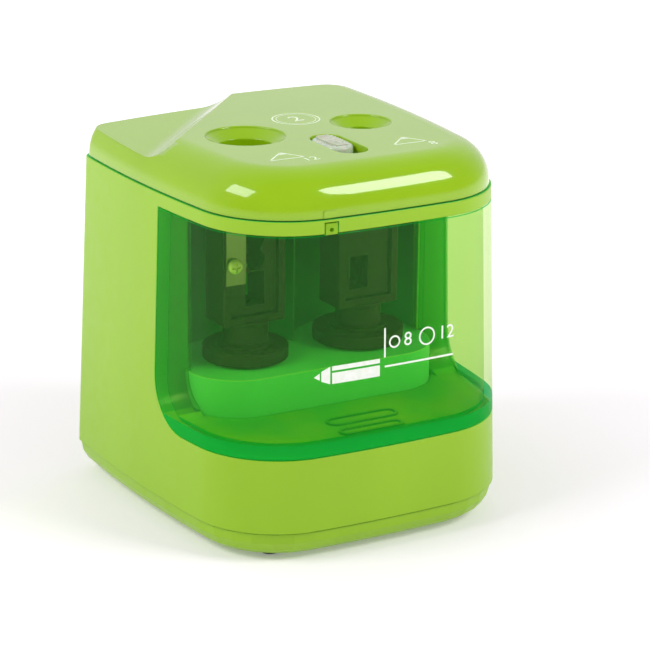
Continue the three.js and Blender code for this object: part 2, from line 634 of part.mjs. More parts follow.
function caseScrew(x, y) {
  const seat = FLOOR_Z + 0.3;
  return turned([[0, seat], [SCREW_HEAD, seat], [SCREW_HEAD, seat + 0.7], [SCREW_RADIUS, seat + 1.2],
    [SCREW_RADIUS, FLOOR_Z + SCREW_LENGTH - 1], [0, FLOOR_Z + SCREW_LENGTH]], x, y, 14);
}

// ---- Gears ----------------------------------------------------------------------------------

// A spur gear's outline; phase is the angle of one tooth's middle.
function gearOutline(module, teeth, phase) {
  const pitch = module * teeth / 2;
  const root = pitch - 1.25 * module;
  const tip = pitch + 0.85 * module;
  const step = 2 * Math.PI / teeth;
  const points = [];
  for (let i = 0; i < teeth; i += 1) {
    const middle = phase + i * step;
    for (const [radius, half] of [[root, -0.33], [tip, -0.1], [tip, 0.1], [root, 0.33]]) {
      const angle = middle + half * step;
      points.push(new THREE.Vector2(radius * Math.cos(angle), radius * Math.sin(angle)));
    }
  }
  return points;
}

function gear(module, teeth, phase, x, y, z, height) {
  const points = gearOutline(module, teeth, phase).map((p) => new THREE.Vector2(p.x + x, p.y + y));
  return prismZ(points, z, z + height);
}

// The phase that puts a gear's gaps on the teeth of the gear it meets, which lies towards direction.
function meshingPhase(teeth, metTeeth, metPhase, direction) {
  const share = 0.5 - metTeeth * (direction - metPhase) / (2 * Math.PI);
  return direction + Math.PI - share * 2 * Math.PI / teeth;
}

const IDLER_PHASE = Math.PI / 2;
const idlerToCutter = (side) => Math.atan2(HOLE_Y - IDLER_Y, side * HOLE_X);

function cutterGear(side) {
  const phase = meshingPhase(CUTTER_TEETH, IDLER_TEETH, IDLER_PHASE, idlerToCutter(side));
  const wheel = gear(CUTTER_MODULE, CUTTER_TEETH, phase, side * HOLE_X, HOLE_Y, CUTTER_GEAR_Z, CUTTER_GEAR_HEIGHT);
  return cut(wheel, rod(SPINDLE_RADIUS + GAP, TOTAL_HEIGHT, side * HOLE_X, HOLE_Y, 0, 20));
}

function idlerGear() {
  const wheel = gear(FAST_MODULE, WHEEL_TEETH, IDLER_PHASE, 0, IDLER_Y, WHEEL_Z, WHEEL_HEIGHT);
  const bottom = WHEEL_Z + WHEEL_HEIGHT - GAP;
  const height = CUTTER_GEAR_Z + CUTTER_GEAR_HEIGHT - bottom;
  const small = gear(CUTTER_MODULE, IDLER_TEETH, IDLER_PHASE, 0, IDLER_Y, bottom, height);
  return cut(joined(wheel, small), rod(AXLE_RADIUS + GAP, TOTAL_HEIGHT, 0, IDLER_Y, 0, 20));
}

function motorPinion() {
  const phase = meshingPhase(PINION_TEETH, WHEEL_TEETH, IDLER_PHASE, Math.PI / 2);
  const wheel = gear(FAST_MODULE, PINION_TEETH, phase, 0, MOTOR_Y, WHEEL_Z - GAP, WHEEL_HEIGHT + 2 * GAP);
  return cut(wheel, rod(MOTOR_SHAFT + GAP / 2, TOTAL_HEIGHT, 0, MOTOR_Y, 0, 12));
}

// ---- Gearbox, chamber and motor -------------------------------------------------------------

function gearboxDeck() {
  const skirtBottom = BIN_BOTTOM_Z - BIN_GAP + GAP;
  const block = prismZ(gearboxOutline(0), skirtBottom, DECK_TOP_Z);
  const hollow = prismZ(gearboxOutline(-SKIRT_WALL), 0, DECK_BOTTOM_Z);
  const cradleDepth = 2 * MOTOR_FLAT - CRADLE_END;
  const cradle = cut(
    box(2 * (MOTOR_RADIUS + CRADLE_WALL), cradleDepth, CRADLE_HEIGHT, 0, MOTOR_Y, DECK_TOP_Z - GAP),
    box(2 * (MOTOR_RADIUS + GAP), CASE_DEPTH, TOTAL_HEIGHT, 0, MOTOR_Y, DECK_TOP_Z));
  const spindleHoles = SIDES.map((side) => (
    rod(SPINDLE_RADIUS + RUNNING_GAP, TOTAL_HEIGHT, side * HOLE_X, HOLE_Y, 0, 24)));
  const shaftHole = rod(MOTOR_BOSS + GAP, TOTAL_HEIGHT, 0, MOTOR_Y, 0, 20);
  const axleHole = rod(AXLE_RADIUS + GAP, DECK_TOP_Z - 1, 0, IDLER_Y, 0, 16);
  return cut(joined(cut(block, hollow), cradle), ...spindleHoles, shaftHole, axleHole);
}

function gearboxLowerPlate() {
  const front = SKIRT_FRONT_Y + SKIRT_WALL + GAP;
  const depth = DECK_BACK_Y - front;
  const width = 2 * (SCREW_X - POST_RADIUS - 2 * GAP);
  const plate = box(width, depth, LOWER_PLATE_THICKNESS, 0, front + depth / 2, LOWER_PLATE_Z);
  const pivots = SIDES.map((side) => (
    rod(PIVOT_RADIUS + RUNNING_GAP, TOTAL_HEIGHT, side * HOLE_X, HOLE_Y, 0, 20)));
  return cut(plate, ...pivots, rod(AXLE_RADIUS + GAP, TOTAL_HEIGHT, 0, IDLER_Y, 0, 16));
}

// Two round walls, one behind each cutter, that meet in a sharp ridge between them.
function chamberWall() {
  const bottom = DECK_TOP_Z + GAP;
  const height = LID_SEAM_Z - LIP_HEIGHT - 2 * GAP - bottom;
  const tubes = (radius, z, tall) => joined(...SIDES.map((side) => (
    rod(radius, tall, side * HOLE_X, HOLE_Y, z, 40))));
  const front = BIN_REAR_Y + BIN_GAP + POCKET_WALL + GAP;
  const ahead = box(2 * CASE_WIDTH, CASE_DEPTH, TOTAL_HEIGHT, 0, front - CASE_DEPTH / 2, 0);
  return cut(tubes(CHAMBER_RADIUS + CHAMBER_WALL, bottom, height), tubes(CHAMBER_RADIUS, 0, TOTAL_HEIGHT), ahead);
}

function motorCan() {
  const body = common(
    rod(MOTOR_RADIUS, MOTOR_HEIGHT, 0, MOTOR_Y, MOTOR_Z, 32),
    box(3 * MOTOR_RADIUS, 2 * MOTOR_FLAT, MOTOR_HEIGHT, 0, MOTOR_Y, MOTOR_Z));
  const boss = rod(MOTOR_BOSS, DECK_THICKNESS + GAP, 0, MOTOR_Y, MOTOR_Z - DECK_THICKNESS, 20);
  const top = rod(MOTOR_BOSS, 2, 0, MOTOR_Y, MOTOR_Z + MOTOR_HEIGHT - GAP, 20);
  const terminals = SIDES.map((side) => {
    const x = side * (MOTOR_RADIUS - TERMINAL_SETBACK);
    return box(CONTACT, TERMINAL_WIDTH, TERMINAL_HEIGHT, x, MOTOR_Y, MOTOR_Z + MOTOR_HEIGHT - GAP);
  });
  return joined(body, boss, top, ...terminals);
}

function motorShaft() {
  const bottom = LOWER_PLATE_TOP_Z + GAP;
  return rod(MOTOR_SHAFT, MOTOR_Z - DECK_THICKNESS - GAP - bottom, 0, MOTOR_Y, bottom, 12);
}

// ---- Cutters --------------------------------------------------------------------------------

const DISC_Z = DECK_TOP_Z + RUNNING_GAP;
const NECK_Z = DISC_Z + DISC_HEIGHT;
const HOLDER_Z = NECK_Z + NECK_HEIGHT;
const BLOCK_Z = HOLDER_Z + CHEEK + GAP;
const BLOCK_WIDTH = HOLDER_WIDTH - 2 * CHEEK - 2 * GAP;
const BLOCK_FRONT = -HOLDER_DEPTH / 2 + BLOCK_SETBACK;

// The turning holder: pivot, spindle, disc, neck and a U that grips the sharpener block.
function cutterHolder(x, disc) {
  const pivotZ = LOWER_PLATE_Z + GAP;
  const stem = turned([[0, pivotZ], [PIVOT_RADIUS, pivotZ], [PIVOT_RADIUS, CUTTER_GEAR_Z - 4],
    [SPINDLE_RADIUS, CUTTER_GEAR_Z - 3], [SPINDLE_RADIUS, DISC_Z], [disc - 0.5, DISC_Z], [disc, DISC_Z + 0.5],
    [disc, NECK_Z - 0.8], [disc - 0.8, NECK_Z], [NECK_RADIUS, NECK_Z], [NECK_RADIUS, HOLDER_Z + 1],
    [0, HOLDER_Z + 1]], x, HOLE_Y, 24);
  const block = box(HOLDER_WIDTH, HOLDER_DEPTH, HOLDER_TOP_Z - HOLDER_Z, x, HOLE_Y, HOLDER_Z);
  const room = box(HOLDER_WIDTH - 2 * CHEEK, 2 * HOLDER_DEPTH, TOTAL_HEIGHT, x, HOLE_Y, HOLDER_Z + CHEEK);
  return joined(stem, cut(block, room));
}

// The block has a cone for the pencil point, open to the front where the blade lies.
function sharpenerBlock(x, bore) {
  const height = HOLDER_TOP_Z - BLOCK_Z;
  const depth = HOLDER_DEPTH / 2 - BLOCK_FRONT - BLOCK_SETBACK;
  const block = box(BLOCK_WIDTH, depth, height, x, HOLE_Y + BLOCK_FRONT + depth / 2, BLOCK_Z);
  const point = cone(POINT_RADIUS, bore - POINT_MARGIN, height + 0.2, x, HOLE_Y, BLOCK_Z - 0.1, 24);
  const chipWindow = box(CHIP_WINDOW_WIDTH, HOLDER_DEPTH * 2, CHIP_WINDOW_HEIGHT, x + CHIP_WINDOW_OFFSET, HOLE_Y,
    BLOCK_Z + CHIP_WINDOW_RISE);
  return cut(block, point, chipWindow, rod(POINT_RADIUS, CHEEK, x, HOLE_Y, BLOCK_Z - 1, 16));
}

// The blade lies on the holder's front face, along its left edge.
function blade(x) {
  const y = HOLE_Y - HOLDER_DEPTH / 2 - GAP - BLADE_THICKNESS / 2;
  const offset = (HOLDER_WIDTH - BLADE_WIDTH) / 2 - BLADE_SETBACK;
  const bottom = HOLDER_TOP_Z - BLADE_LENGTH - 1;
  const plate = box(BLADE_WIDTH, BLADE_THICKNESS, BLADE_LENGTH, x - offset, y, bottom);
  return cut(plate, screwHole(x, BLADE_SCREW_RADIUS + RUNNING_GAP));
}

const BLADE_SCREW_Z = HOLDER_TOP_Z - BLADE_SCREW_DROP;

function screwHole(x, radius) {
  const geometry = new THREE.CylinderGeometry(radius, radius, HOLDER_DEPTH, 16);
  return solid(geometry.translate(x - BLADE_SCREW_OFFSET, HOLE_Y - HOLDER_DEPTH / 2, BLADE_SCREW_Z));
}

function bladeScrew(x) {
  const bladeFace = HOLE_Y - HOLDER_DEPTH / 2 - GAP - BLADE_THICKNESS;
  const shoulder = BLADE_SCREW_LENGTH;
  const rim = shoulder + BLADE_SCREW_HEAD_HEIGHT;
  const profile = [[0, 0], [BLADE_SCREW_RADIUS, 0], [BLADE_SCREW_RADIUS, shoulder], [BLADE_SCREW_HEAD, shoulder],
    [BLADE_SCREW_HEAD, rim], [BLADE_SCREW_RADIUS, rim + 0.7], [0, rim + 0.8]];
  const points = profile.map(([radius, height]) => new THREE.Vector2(radius, height));
  const geometry = new THREE.LatheGeometry(points, 16).rotateX(Math.PI);
  return solid(geometry.translate(x - BLADE_SCREW_OFFSET, bladeFace - GAP + shoulder, BLADE_SCREW_Z));
}

// ---- Cells and contacts ---------------------------------------------------------------------

const cellX = (index) => (index - (CELLS - 1) / 2) * CELL_PITCH;
const plusToFront = (index) => index % 2 === 0;

function cell(index) {
  const profile = [[0, 0], [CELL_RADIUS, 0], [CELL_RADIUS, CELL_LENGTH], [CELL_NUB_RADIUS, CELL_LENGTH],
    [CELL_NUB_RADIUS, CELL_LENGTH + CELL_NUB], [0, CELL_LENGTH + CELL_NUB]];
  const points = profile.map(([radius, height]) => new THREE.Vector2(radius, height));
  const geometry = new THREE.LatheGeometry(points, 24);
  if (plusToFront(index)) {
    const start = BAY_FRONT_Y + CONTACT + GAP + CELL_LENGTH + CELL_NUB;
    return solid(geometry.rotateX(Math.PI).translate(cellX(index), start, CELL_Z));
  }
  return solid(geometry.translate(cellX(index), BAY_BACK_Y - CONTACT - GAP - CELL_LENGTH - CELL_NUB, CELL_Z));
}

// A conical spring, wide at the contact plate and narrow at the cell.
function cellSpring(index) {
  const steps = 8 * SPRING_TURNS;
  const points = [];
  const length = SPRING_LENGTH - 1;
  for (let i = 0; i <= steps; i += 1) {
    const share = i / steps;
    const angle = share * SPRING_TURNS * 2 * Math.PI;
    const radius = SPRING_RADIUS - SPRING_TAPER * share;
    points.push(new THREE.Vector3(radius * Math.cos(angle), share * length, radius * Math.sin(angle)));
  }
  const path = new THREE.CatmullRomCurve3(points);
  const section = new THREE.Shape(arc(0, 0, SPRING_WIRE, 0, 2 * Math.PI * 4 / 5, 4));
  const geometry = new THREE.ExtrudeGeometry(section, { steps, bevelEnabled: false, extrudePath: path });
  const seat = CONTACT + GAP + SPRING_WIRE + 0.05;
  if (plusToFront(index)) {
    return solid(geometry.rotateX(Math.PI).translate(cellX(index), BAY_BACK_Y - seat, CELL_Z));
  }
  return solid(geometry.translate(cellX(index), BAY_FRONT_Y + seat, CELL_Z));
}

function contactPlate(first, last, y) {
  const width = (last - first) * CELL_PITCH + CONTACT_WIDTH;
  const middle = (cellX(first) + cellX(last)) / 2;
  return box(width, CONTACT, CONTACT_HEIGHT, middle, y, CELL_Z - CONTACT_HEIGHT / 2);
}

// ---- Switch ---------------------------------------------------------------------------------

const KNOB_Y = SLOT_Y + (SLOT_LENGTH - KNOB_LENGTH) / 2 - GAP;

function switchKnob() {
  const outline = stadium(SLOT_WIDTH - 2 * GAP, KNOB_LENGTH, 0, KNOB_Y);
  const head = prismZ(outline, SWITCH_TOP_Z + GAP + 1, TOTAL_HEIGHT);
  const stem = box(KNOB_STEM, KNOB_STEM, KNOB_STEM_SINK + 2, 0, KNOB_Y, SWITCH_TOP_Z - KNOB_STEM_SINK);
  const ribLength = SLOT_WIDTH / 3 * 2;
  const ribs = [-2, -1, 0, 1, 2].map((step) => (
    box(ribLength, KNOB_RIB_WIDTH, 2 * KNOB_RIB_HEIGHT, 0, KNOB_Y + step * KNOB_RIB_PITCH,
      TOTAL_HEIGHT - KNOB_RIB_HEIGHT)));
  return joined(head, stem, ...ribs);
}

function switchBody() {
  const block = box(SWITCH_WIDTH, SLOT_LENGTH + 2, SWITCH_HEIGHT, 0, SLOT_Y, SWITCH_TOP_Z - SWITCH_HEIGHT);
  const grooveZ = SWITCH_TOP_Z - KNOB_STEM_SINK - RUNNING_GAP;
  const slide = box(KNOB_STEM + 2 * RUNNING_GAP, SLOT_LENGTH - 4, SWITCH_HEIGHT, 0, SLOT_Y, grooveZ);
  return cut(block, slide);
}

// ---- Assembly -------------------------------------------------------------------------------

add('body_shell', bodyShell(), plastic(GREEN));
add('top_cover', topCover(), plastic(LID_GREEN, 0.15));
add('shavings_bin', shavingsBin(), plastic(CLEAR_GREEN, 0.1));
add('base_plate', basePlate(), plastic(GREEN));
add('battery_door', batteryDoor(), plastic(GREEN));
add('gearbox_deck', gearboxDeck(), plastic(GREEN));
add('gearbox_lower_plate', gearboxLowerPlate(), plastic(GREEN));
add('chamber_wall', chamberWall(), plastic(GREEN));

// The small cutter stands half a turn round from the large one.
const cutters = [
  { size: 'large', side: -1, disc: LARGE_DISC, bore: LARGE_BORE, turn: 0 },
  { size: 'small', side: 1, disc: SMALL_DISC, bore: SMALL_BORE, turn: 180 },
];
for (const { size, side, disc, bore, turn } of cutters) {
  const x = side * HOLE_X;
  const turnedRound = (shape) => shape.translate([-x, -HOLE_Y, 0]).rotate([0, 0, turn]).translate([x, HOLE_Y, 0]);
  const shank = screwHole(x, BLADE_SCREW_RADIUS + GAP);
  add(`cutter_holder_${size}`, turnedRound(cut(cutterHolder(x, disc), shank)), plastic(DARK));
  add(`sharpener_block_${size}`, turnedRound(cut(sharpenerBlock(x, bore), shank)), plastic(DARK));
  add(`blade_${size}`, turnedRound(blade(x)), metal(STEEL));
  add(`blade_screw_${size}`, turnedRound(bladeScrew(x)), metal(STEEL));
  add(`cutter_gear_${size}`, cutterGear(side), plastic(GEAR_WHITE));
}

add('idler_gear', idlerGear(), plastic(GEAR_WHITE));
const axleLength = DECK_TOP_Z - 5 * GAP - LOWER_PLATE_Z;
add('idler_axle', rod(AXLE_RADIUS, axleLength, 0, IDLER_Y, LOWER_PLATE_Z, 16), metal(STEEL));
add('motor', motorCan(), metal(STEEL));
add('motor_shaft', motorShaft(), metal(STEEL));
add('motor_pinion', motorPinion(), metal(BRASS));
add('switch_knob', switchKnob(), plastic(KNOB_WHITE));
add('switch_body', switchBody(), plastic(BLACK));

for (let index = 0; index < CELLS; index += 1) {
  add(`battery_${index + 1}`, cell(index), metal(BRASS));
  add(`battery_spring_${index + 1}`, cellSpring(index), metal(STEEL));
}
const frontPlateY = BAY_FRONT_Y + GAP / 2 + CONTACT / 2;
const backPlateY = BAY_BACK_Y - GAP / 2 - CONTACT / 2;
add('contact_front_left', contactPlate(0, 1, frontPlateY), metal(STEEL));
add('contact_front_right', contactPlate(2, 3, frontPlateY), metal(STEEL));
add('contact_back_left', contactPlate(0, 0, backPlateY), metal(STEEL));
add('contact_back_middle', contactPlate(1, 2, backPlateY), metal(STEEL));
add('contact_back_right', contactPlate(3, 3, backPlateY), metal(STEEL));

FOOT_PLACES.forEach(([x, y], index) => add(`foot_${index + 1}`, foot(x, y), plastic(BLACK, 0.8)));
SCREW_PLACES.forEach(([x, y], index) => add(`case_screw_${index + 1}`, caseScrew(x, y), metal(STEEL)));

export default model;
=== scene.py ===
"""Looks of the battery pencil sharpener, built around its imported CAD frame.

Lengths are named in millimetres and become metres when a piece is made.
"""

import json
import math

import bmesh
import bpy
from mathutils import Matrix, Vector
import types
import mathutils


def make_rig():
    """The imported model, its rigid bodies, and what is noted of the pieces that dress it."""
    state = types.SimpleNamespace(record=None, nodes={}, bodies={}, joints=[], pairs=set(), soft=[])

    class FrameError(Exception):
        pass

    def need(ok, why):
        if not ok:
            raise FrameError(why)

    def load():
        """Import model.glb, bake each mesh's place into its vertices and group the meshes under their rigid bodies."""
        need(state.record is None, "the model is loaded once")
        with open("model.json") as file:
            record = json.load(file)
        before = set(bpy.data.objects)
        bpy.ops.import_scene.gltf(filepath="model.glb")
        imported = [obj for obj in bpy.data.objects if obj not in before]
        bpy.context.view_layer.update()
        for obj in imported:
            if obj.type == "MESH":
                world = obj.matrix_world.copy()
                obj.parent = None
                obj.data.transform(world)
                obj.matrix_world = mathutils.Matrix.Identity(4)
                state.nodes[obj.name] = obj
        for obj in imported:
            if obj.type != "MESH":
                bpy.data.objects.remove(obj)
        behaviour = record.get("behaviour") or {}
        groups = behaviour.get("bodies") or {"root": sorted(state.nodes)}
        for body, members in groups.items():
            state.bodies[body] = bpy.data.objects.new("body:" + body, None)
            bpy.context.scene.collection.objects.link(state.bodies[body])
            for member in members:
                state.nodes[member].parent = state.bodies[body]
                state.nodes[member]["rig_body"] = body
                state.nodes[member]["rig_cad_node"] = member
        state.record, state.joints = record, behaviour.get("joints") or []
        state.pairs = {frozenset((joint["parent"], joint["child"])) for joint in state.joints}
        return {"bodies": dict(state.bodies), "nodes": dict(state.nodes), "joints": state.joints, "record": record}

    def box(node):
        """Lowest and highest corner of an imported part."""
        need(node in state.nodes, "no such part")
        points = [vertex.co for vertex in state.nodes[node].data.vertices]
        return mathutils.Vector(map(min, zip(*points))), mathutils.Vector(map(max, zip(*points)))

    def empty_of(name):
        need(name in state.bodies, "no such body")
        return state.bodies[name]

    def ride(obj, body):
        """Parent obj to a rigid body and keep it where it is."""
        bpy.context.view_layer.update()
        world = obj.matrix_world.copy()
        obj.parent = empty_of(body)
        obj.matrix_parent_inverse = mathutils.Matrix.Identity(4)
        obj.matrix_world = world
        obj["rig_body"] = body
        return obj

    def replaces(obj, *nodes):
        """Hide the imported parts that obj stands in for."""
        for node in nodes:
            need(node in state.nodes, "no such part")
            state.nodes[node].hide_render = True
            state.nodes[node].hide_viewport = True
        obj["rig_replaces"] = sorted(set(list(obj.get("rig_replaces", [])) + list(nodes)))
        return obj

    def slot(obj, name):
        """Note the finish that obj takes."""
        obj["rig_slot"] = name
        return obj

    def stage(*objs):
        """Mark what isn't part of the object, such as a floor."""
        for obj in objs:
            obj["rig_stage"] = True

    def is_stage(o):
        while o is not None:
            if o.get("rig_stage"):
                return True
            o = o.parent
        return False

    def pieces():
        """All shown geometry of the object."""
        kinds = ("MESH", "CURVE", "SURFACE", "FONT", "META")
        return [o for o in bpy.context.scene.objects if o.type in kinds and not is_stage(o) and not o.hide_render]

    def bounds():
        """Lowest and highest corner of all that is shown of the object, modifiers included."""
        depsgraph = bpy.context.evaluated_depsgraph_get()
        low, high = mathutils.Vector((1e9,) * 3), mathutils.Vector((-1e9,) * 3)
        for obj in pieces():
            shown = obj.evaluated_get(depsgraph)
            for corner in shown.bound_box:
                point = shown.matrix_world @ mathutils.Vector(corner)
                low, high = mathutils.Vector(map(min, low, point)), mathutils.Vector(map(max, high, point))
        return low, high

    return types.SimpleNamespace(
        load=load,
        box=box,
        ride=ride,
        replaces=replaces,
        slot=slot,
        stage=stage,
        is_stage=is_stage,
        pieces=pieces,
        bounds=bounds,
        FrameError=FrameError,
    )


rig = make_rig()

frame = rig.load()
cad_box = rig.bounds()

MM = 0.001
HALF_PI = math.pi / 2


def span(node):
    """Lowest and highest corner of a CAD node, in millimetres."""
    lo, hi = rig.box(node)
    return lo / MM, hi / MM


# ---- Places, read from the frame ----

BIN_LO = span("shavings_bin")[0]
DECK_HI = span("gearbox_deck")[1]
CHAMBER_LO, CHAMBER_HI = span("chamber_wall")
KNOB_LO, KNOB_HI = span("switch_knob")
SPIN = {j["child"]: Vector(j["pos_m"]) / MM for j in frame["joints"] if j["type"] == "hinge"}
LARGE_AXIS, SMALL_AXIS = SPIN["cutter_large"], SPIN["cutter_small"]
HOLE_X = SMALL_AXIS.x
HOLE_Y = SMALL_AXIS.y

# ---- Sizes ----

CASE_WIDTH, CASE_DEPTH, TOP_Z = 84.7, 87.0, 92.0
FRONT_Y = -CASE_DEPTH / 2
BASE_SEAM_Z, LID_SEAM_Z = 7.4, 81.4
SIDE_LEAN, FRONT_LEAN, BACK_LEAN = 2.35, 1.4, 2.8
FRONT_ARC, SIDE_ARC, BACK_ARC, SIDE_ARC_Y = 320.0, 339.0, 330.0, 19.1
FRONT_CORNER, BACK_CORNER = 22.5, 4.5
WALL, GAP = 2.2, 0.3

LID_INSET, LID_FILLET, LID_BACK_EDGE, LID_WALL = 0.5, 9.3, 1.6, 2.4
SCOOP_DROP, SCOOP_RUN, SCOOP_STEEPEST, SCOOP_CREST_Y = 3.8, 8.0, 4.2, 34.7
SCOOP_ANGLE, SCOOP_RISE = math.radians(45.6), 0.03
LARGE_BORE, SMALL_BORE, LARGE_MOUTH, SMALL_MOUTH, MOUTH_DEPTH = 6.6, 4.5, 9.57, 7.45, 2.3
GUIDE_WALL, GUIDE_LENGTH, COLLAR_EXTRA, COLLAR_DROP, HOLE_RIM = 1.3, 15.0, 1.2, 1.5, 0.45
LIP_DROP, LIP_RISE, LIP_WALL = 2.2, 0.9, 1.2
LID_TAB_INSET, LID_TAB_EXTRA, LID_TAB_HEIGHT = 0.05, 0.6, 1.7

BIN_REAR_Y, BIN_CORNER, BIN_WALL, BIN_FLOOR, BIN_GAP, POCKET_WALL = -3.6, 12.3, 2.0, 2.4, 0.3, 1.8
BIN_BOTTOM_Z, BIN_TOP_Z = BIN_LO.z, LID_SEAM_Z - 3.4
LATCH_X, LATCH_WIDTH, LATCH_HEIGHT, TAB_HOLE, TAB_HOLE_RISE = -15.0, 3.0, 2.6, 0.5, 1.1
# The long rings on the bin's floor: the middle's x and y, the length and the width of each.
FLOOR_RINGS = ((0.5, -30.0, 19.0, 5.0), (-1.0, -37.0, 17.0, 4.0))
RING_LINE, RING_ROOT, RING_RISE = 0.7, 0.5, 0.45

CHAMBER_RADIUS, CHAMBER_WALL, RUNNING_GAP = 16.1, 1.4, 0.4
CHAMBER_HALF_WIDTH = HOLE_X + CHAMBER_RADIUS
SKIRT_HALF_WIDTH = CHAMBER_HALF_WIDTH + 0.7
SKIRT_FRONT_Y, SKIRT_CORNER, SKIRT_WALL = -17.8, 13.0, 1.8
DECK_HALF_WIDTH, DECK_TOP_Z, DECK_THICKNESS, SPINDLE_HOLE = DECK_HI.x, 37.3, 2.3, 3.0

SLOT_WIDTH, SLOT_LENGTH, SLOT_Y, SLOT_EDGE = 7.8, 19.0, -18.4, 0.35
KNOB_LENGTH, KNOB_STEM, KNOB_HEAD_Z, KNOB_EDGE, KNOB_SUNK = 12.4, 3.0, 84.9, 0.9, 0.15
KNOB_RIBS, KNOB_RIB_PITCH, KNOB_RIB_WIDTH, KNOB_RIB_ROOT = 9, 1.15, 0.55, 0.3
KNOB_RIB_MARGIN, KNOB_RIB_SHORTEST, KNOB_RIB_CORNER, KNOB_RIB_EDGE = 1.3, 0.6, 0.27, 0.12

# A cutter's turned stem, from below: spindle, wider seat, disc, foot ring, neck and head ring.
SPINDLE_RADIUS, SEAT_RADIUS, SEAT_BOTTOM, SEAT_TOP = 1.6, 2.6, 7.5, 6.5
DISC_HEIGHT, DISC_CORNER, NECK_RADIUS, NECK_HEIGHT = 3.4, 0.5, 5.6, 6.0
FOOT_RING, FOOT_RING_HEIGHT, FOOT_RING_TOP = 1.6, 0.7, 0.8
HEAD_RING, HEAD_RING_SLOPE = 0.5, 0.6
HOLDER_WIDTH, HOLDER_DEPTH, CHEEK, BLOCK_SETBACK = 16.7, 10.0, 2.0, 0.8
HOLDER_CORNER, BLOCK_CORNER, CUTTER_EDGE = 0.7, 0.35, 0.3
POINT_RADIUS, POINT_MARGIN = 0.8, 0.4
CHIP_WINDOW_WIDTH, CHIP_WINDOW_HEIGHT, CHIP_WINDOW_RISE = 5.0, 8.2, 2.2
# Cutters face -1, the front, or 1, the back.
CHIP_WINDOW_SHIFT = {-1: 0.3, 1: -2.4}
BREAK_OUT, BREAK_OUT_RISE = 2.6, 13.4
BLADE_BEVEL, BLADE_SLOPE = 0.35, 0.9
SCREW_HEAD, SCREW_HEAD_HEIGHT, SCREW_SHANK, SCREW_OFFSET, SCREW_Z = 1.85, 1.4, 1.0, 6.2, 62.5

INK, INK_CLEARANCE, LID_INK_SUNK = 0.05, 0.01, 0.001

# ---- Solids ----


def arc(cx, cy, radius, start, end, steps):
    angles = [start + (end - start) * i / steps for i in range(steps + 1)]
    return [(cx + radius * math.cos(a), cy + radius * math.sin(a)) for a in angles]


def quarter(steps):
    return [HALF_PI * i / steps for i in range(steps + 1)]


def circle(radius, sides):
    return arc(0, 0, radius, 0, 2 * math.pi, sides)[:-1]


def crossing(a, radius_a, b, radius_b, upper):
    """Where two circles round a and b cross, on the right, at the lower or the upper crossing."""
    between = b - a
    distance = between.length
    along = (radius_a**2 - radius_b**2 + distance**2) / (2 * distance)
    across = math.sqrt(max(radius_a**2 - along**2, 0))
    unit = between / distance
    middle = a + unit * along
    normal = Vector((-unit.y, unit.x)) * across
    low, high = sorted((middle + normal, middle - normal), key=lambda p: p.y)
    return high if upper else low


def angle_to(start, end):
    return math.atan2(end.y - start.y, end.x - start.x)


def lean_at(z):
    """How far up the walls z is, from 0 at the base's seam to 1 at the lid's."""
    return (z - BASE_SEAM_Z) / (LID_SEAM_Z - BASE_SEAM_Z)


def outline(z, inset=0.0, back_inset=None, back_corner=None):
    """The case's outline at height z, moved inwards by inset (and at the back by back_inset)."""
    back_inset = inset if back_inset is None else back_inset
    back_corner = BACK_CORNER - inset if back_corner is None else back_corner
    lean = lean_at(z)
    half_width = CASE_WIDTH / 2 - SIDE_LEAN * lean
    front = Vector((0, FRONT_Y + FRONT_LEAN * lean + FRONT_ARC))
    side = Vector((half_width - SIDE_ARC, SIDE_ARC_Y))
    back = Vector((0, CASE_DEPTH / 2 - BACK_LEAN * lean - BACK_ARC))
    front_r, side_r, back_r = FRONT_ARC - inset, SIDE_ARC - inset, BACK_ARC - back_inset
    r1, r2 = max(FRONT_CORNER - inset, 1), max(back_corner, 1)
    c1 = crossing(front, front_r - r1, side, side_r - r1, False)
    c2 = crossing(back, back_r - r2, side, side_r - r2, True)
    a1, a2, a3, a4 = angle_to(front, c1), angle_to(side, c1), angle_to(side, c2), angle_to(back, c2)
    half = arc(front.x, front.y, front_r, -HALF_PI, a1, 10)
    half += arc(c1.x, c1.y, r1, a1, a2, 16)[1:]
    half += arc(side.x, side.y, side_r, a2, a3, 16)[1:]
    half += arc(c2.x, c2.y, r2, a3, a4, 8)[1:]
    half += arc(back.x, back.y, back_r, a4, HALF_PI, 10)[1:]
    mirrored = [(-x, y) for x, y in reversed(half[1:-1])]
    return [(x, y, z) for x, y in half + mirrored]


def add_object(name, data):
    made = bpy.data.objects.new(name, data)
    bpy.context.scene.collection.objects.link(made)
    return made


def solid(verts, faces):
    mesh = bpy.data.meshes.new("solid")
    mesh.from_pydata(verts, [], faces)
    mesh.validate()
    return add_object("solid", mesh)


def loft(rings):
    """Rings of equal length joined into one closed skin, with a flat cap at each end."""
    count = len(rings[0])
    verts = [p for ring in rings for p in ring]
    faces = []
    for level in range(len(rings) - 1):
        for i in range(count):
            a, b = level * count + i, level * count + (i + 1) % count
            faces.append((a, b, b + count, a + count))
    last = (len(rings) - 1) * count
    faces.append(tuple(reversed(range(count))))
    faces.append(tuple(last + i for i in range(count)))
    return solid(verts, faces)


def prism_z(points, z0, z1):
    return loft([[(x, y, z0) for x, y in points], [(x, y, z1) for x, y in points]])


def prism_x(points, x0, x1):
    """An outline given in Y and Z, counter-clockwise, drawn out along X."""
    return loft([[(x0, y, z) for y, z in points], [(x1, y, z) for y, z in points]])


def block(width, depth, height, x, y, z):
    w, d = width / 2, depth / 2
    return prism_z([(x - w, y - d), (x + w, y - d), (x + w, y + d), (x - w, y + d)], z, z + height)


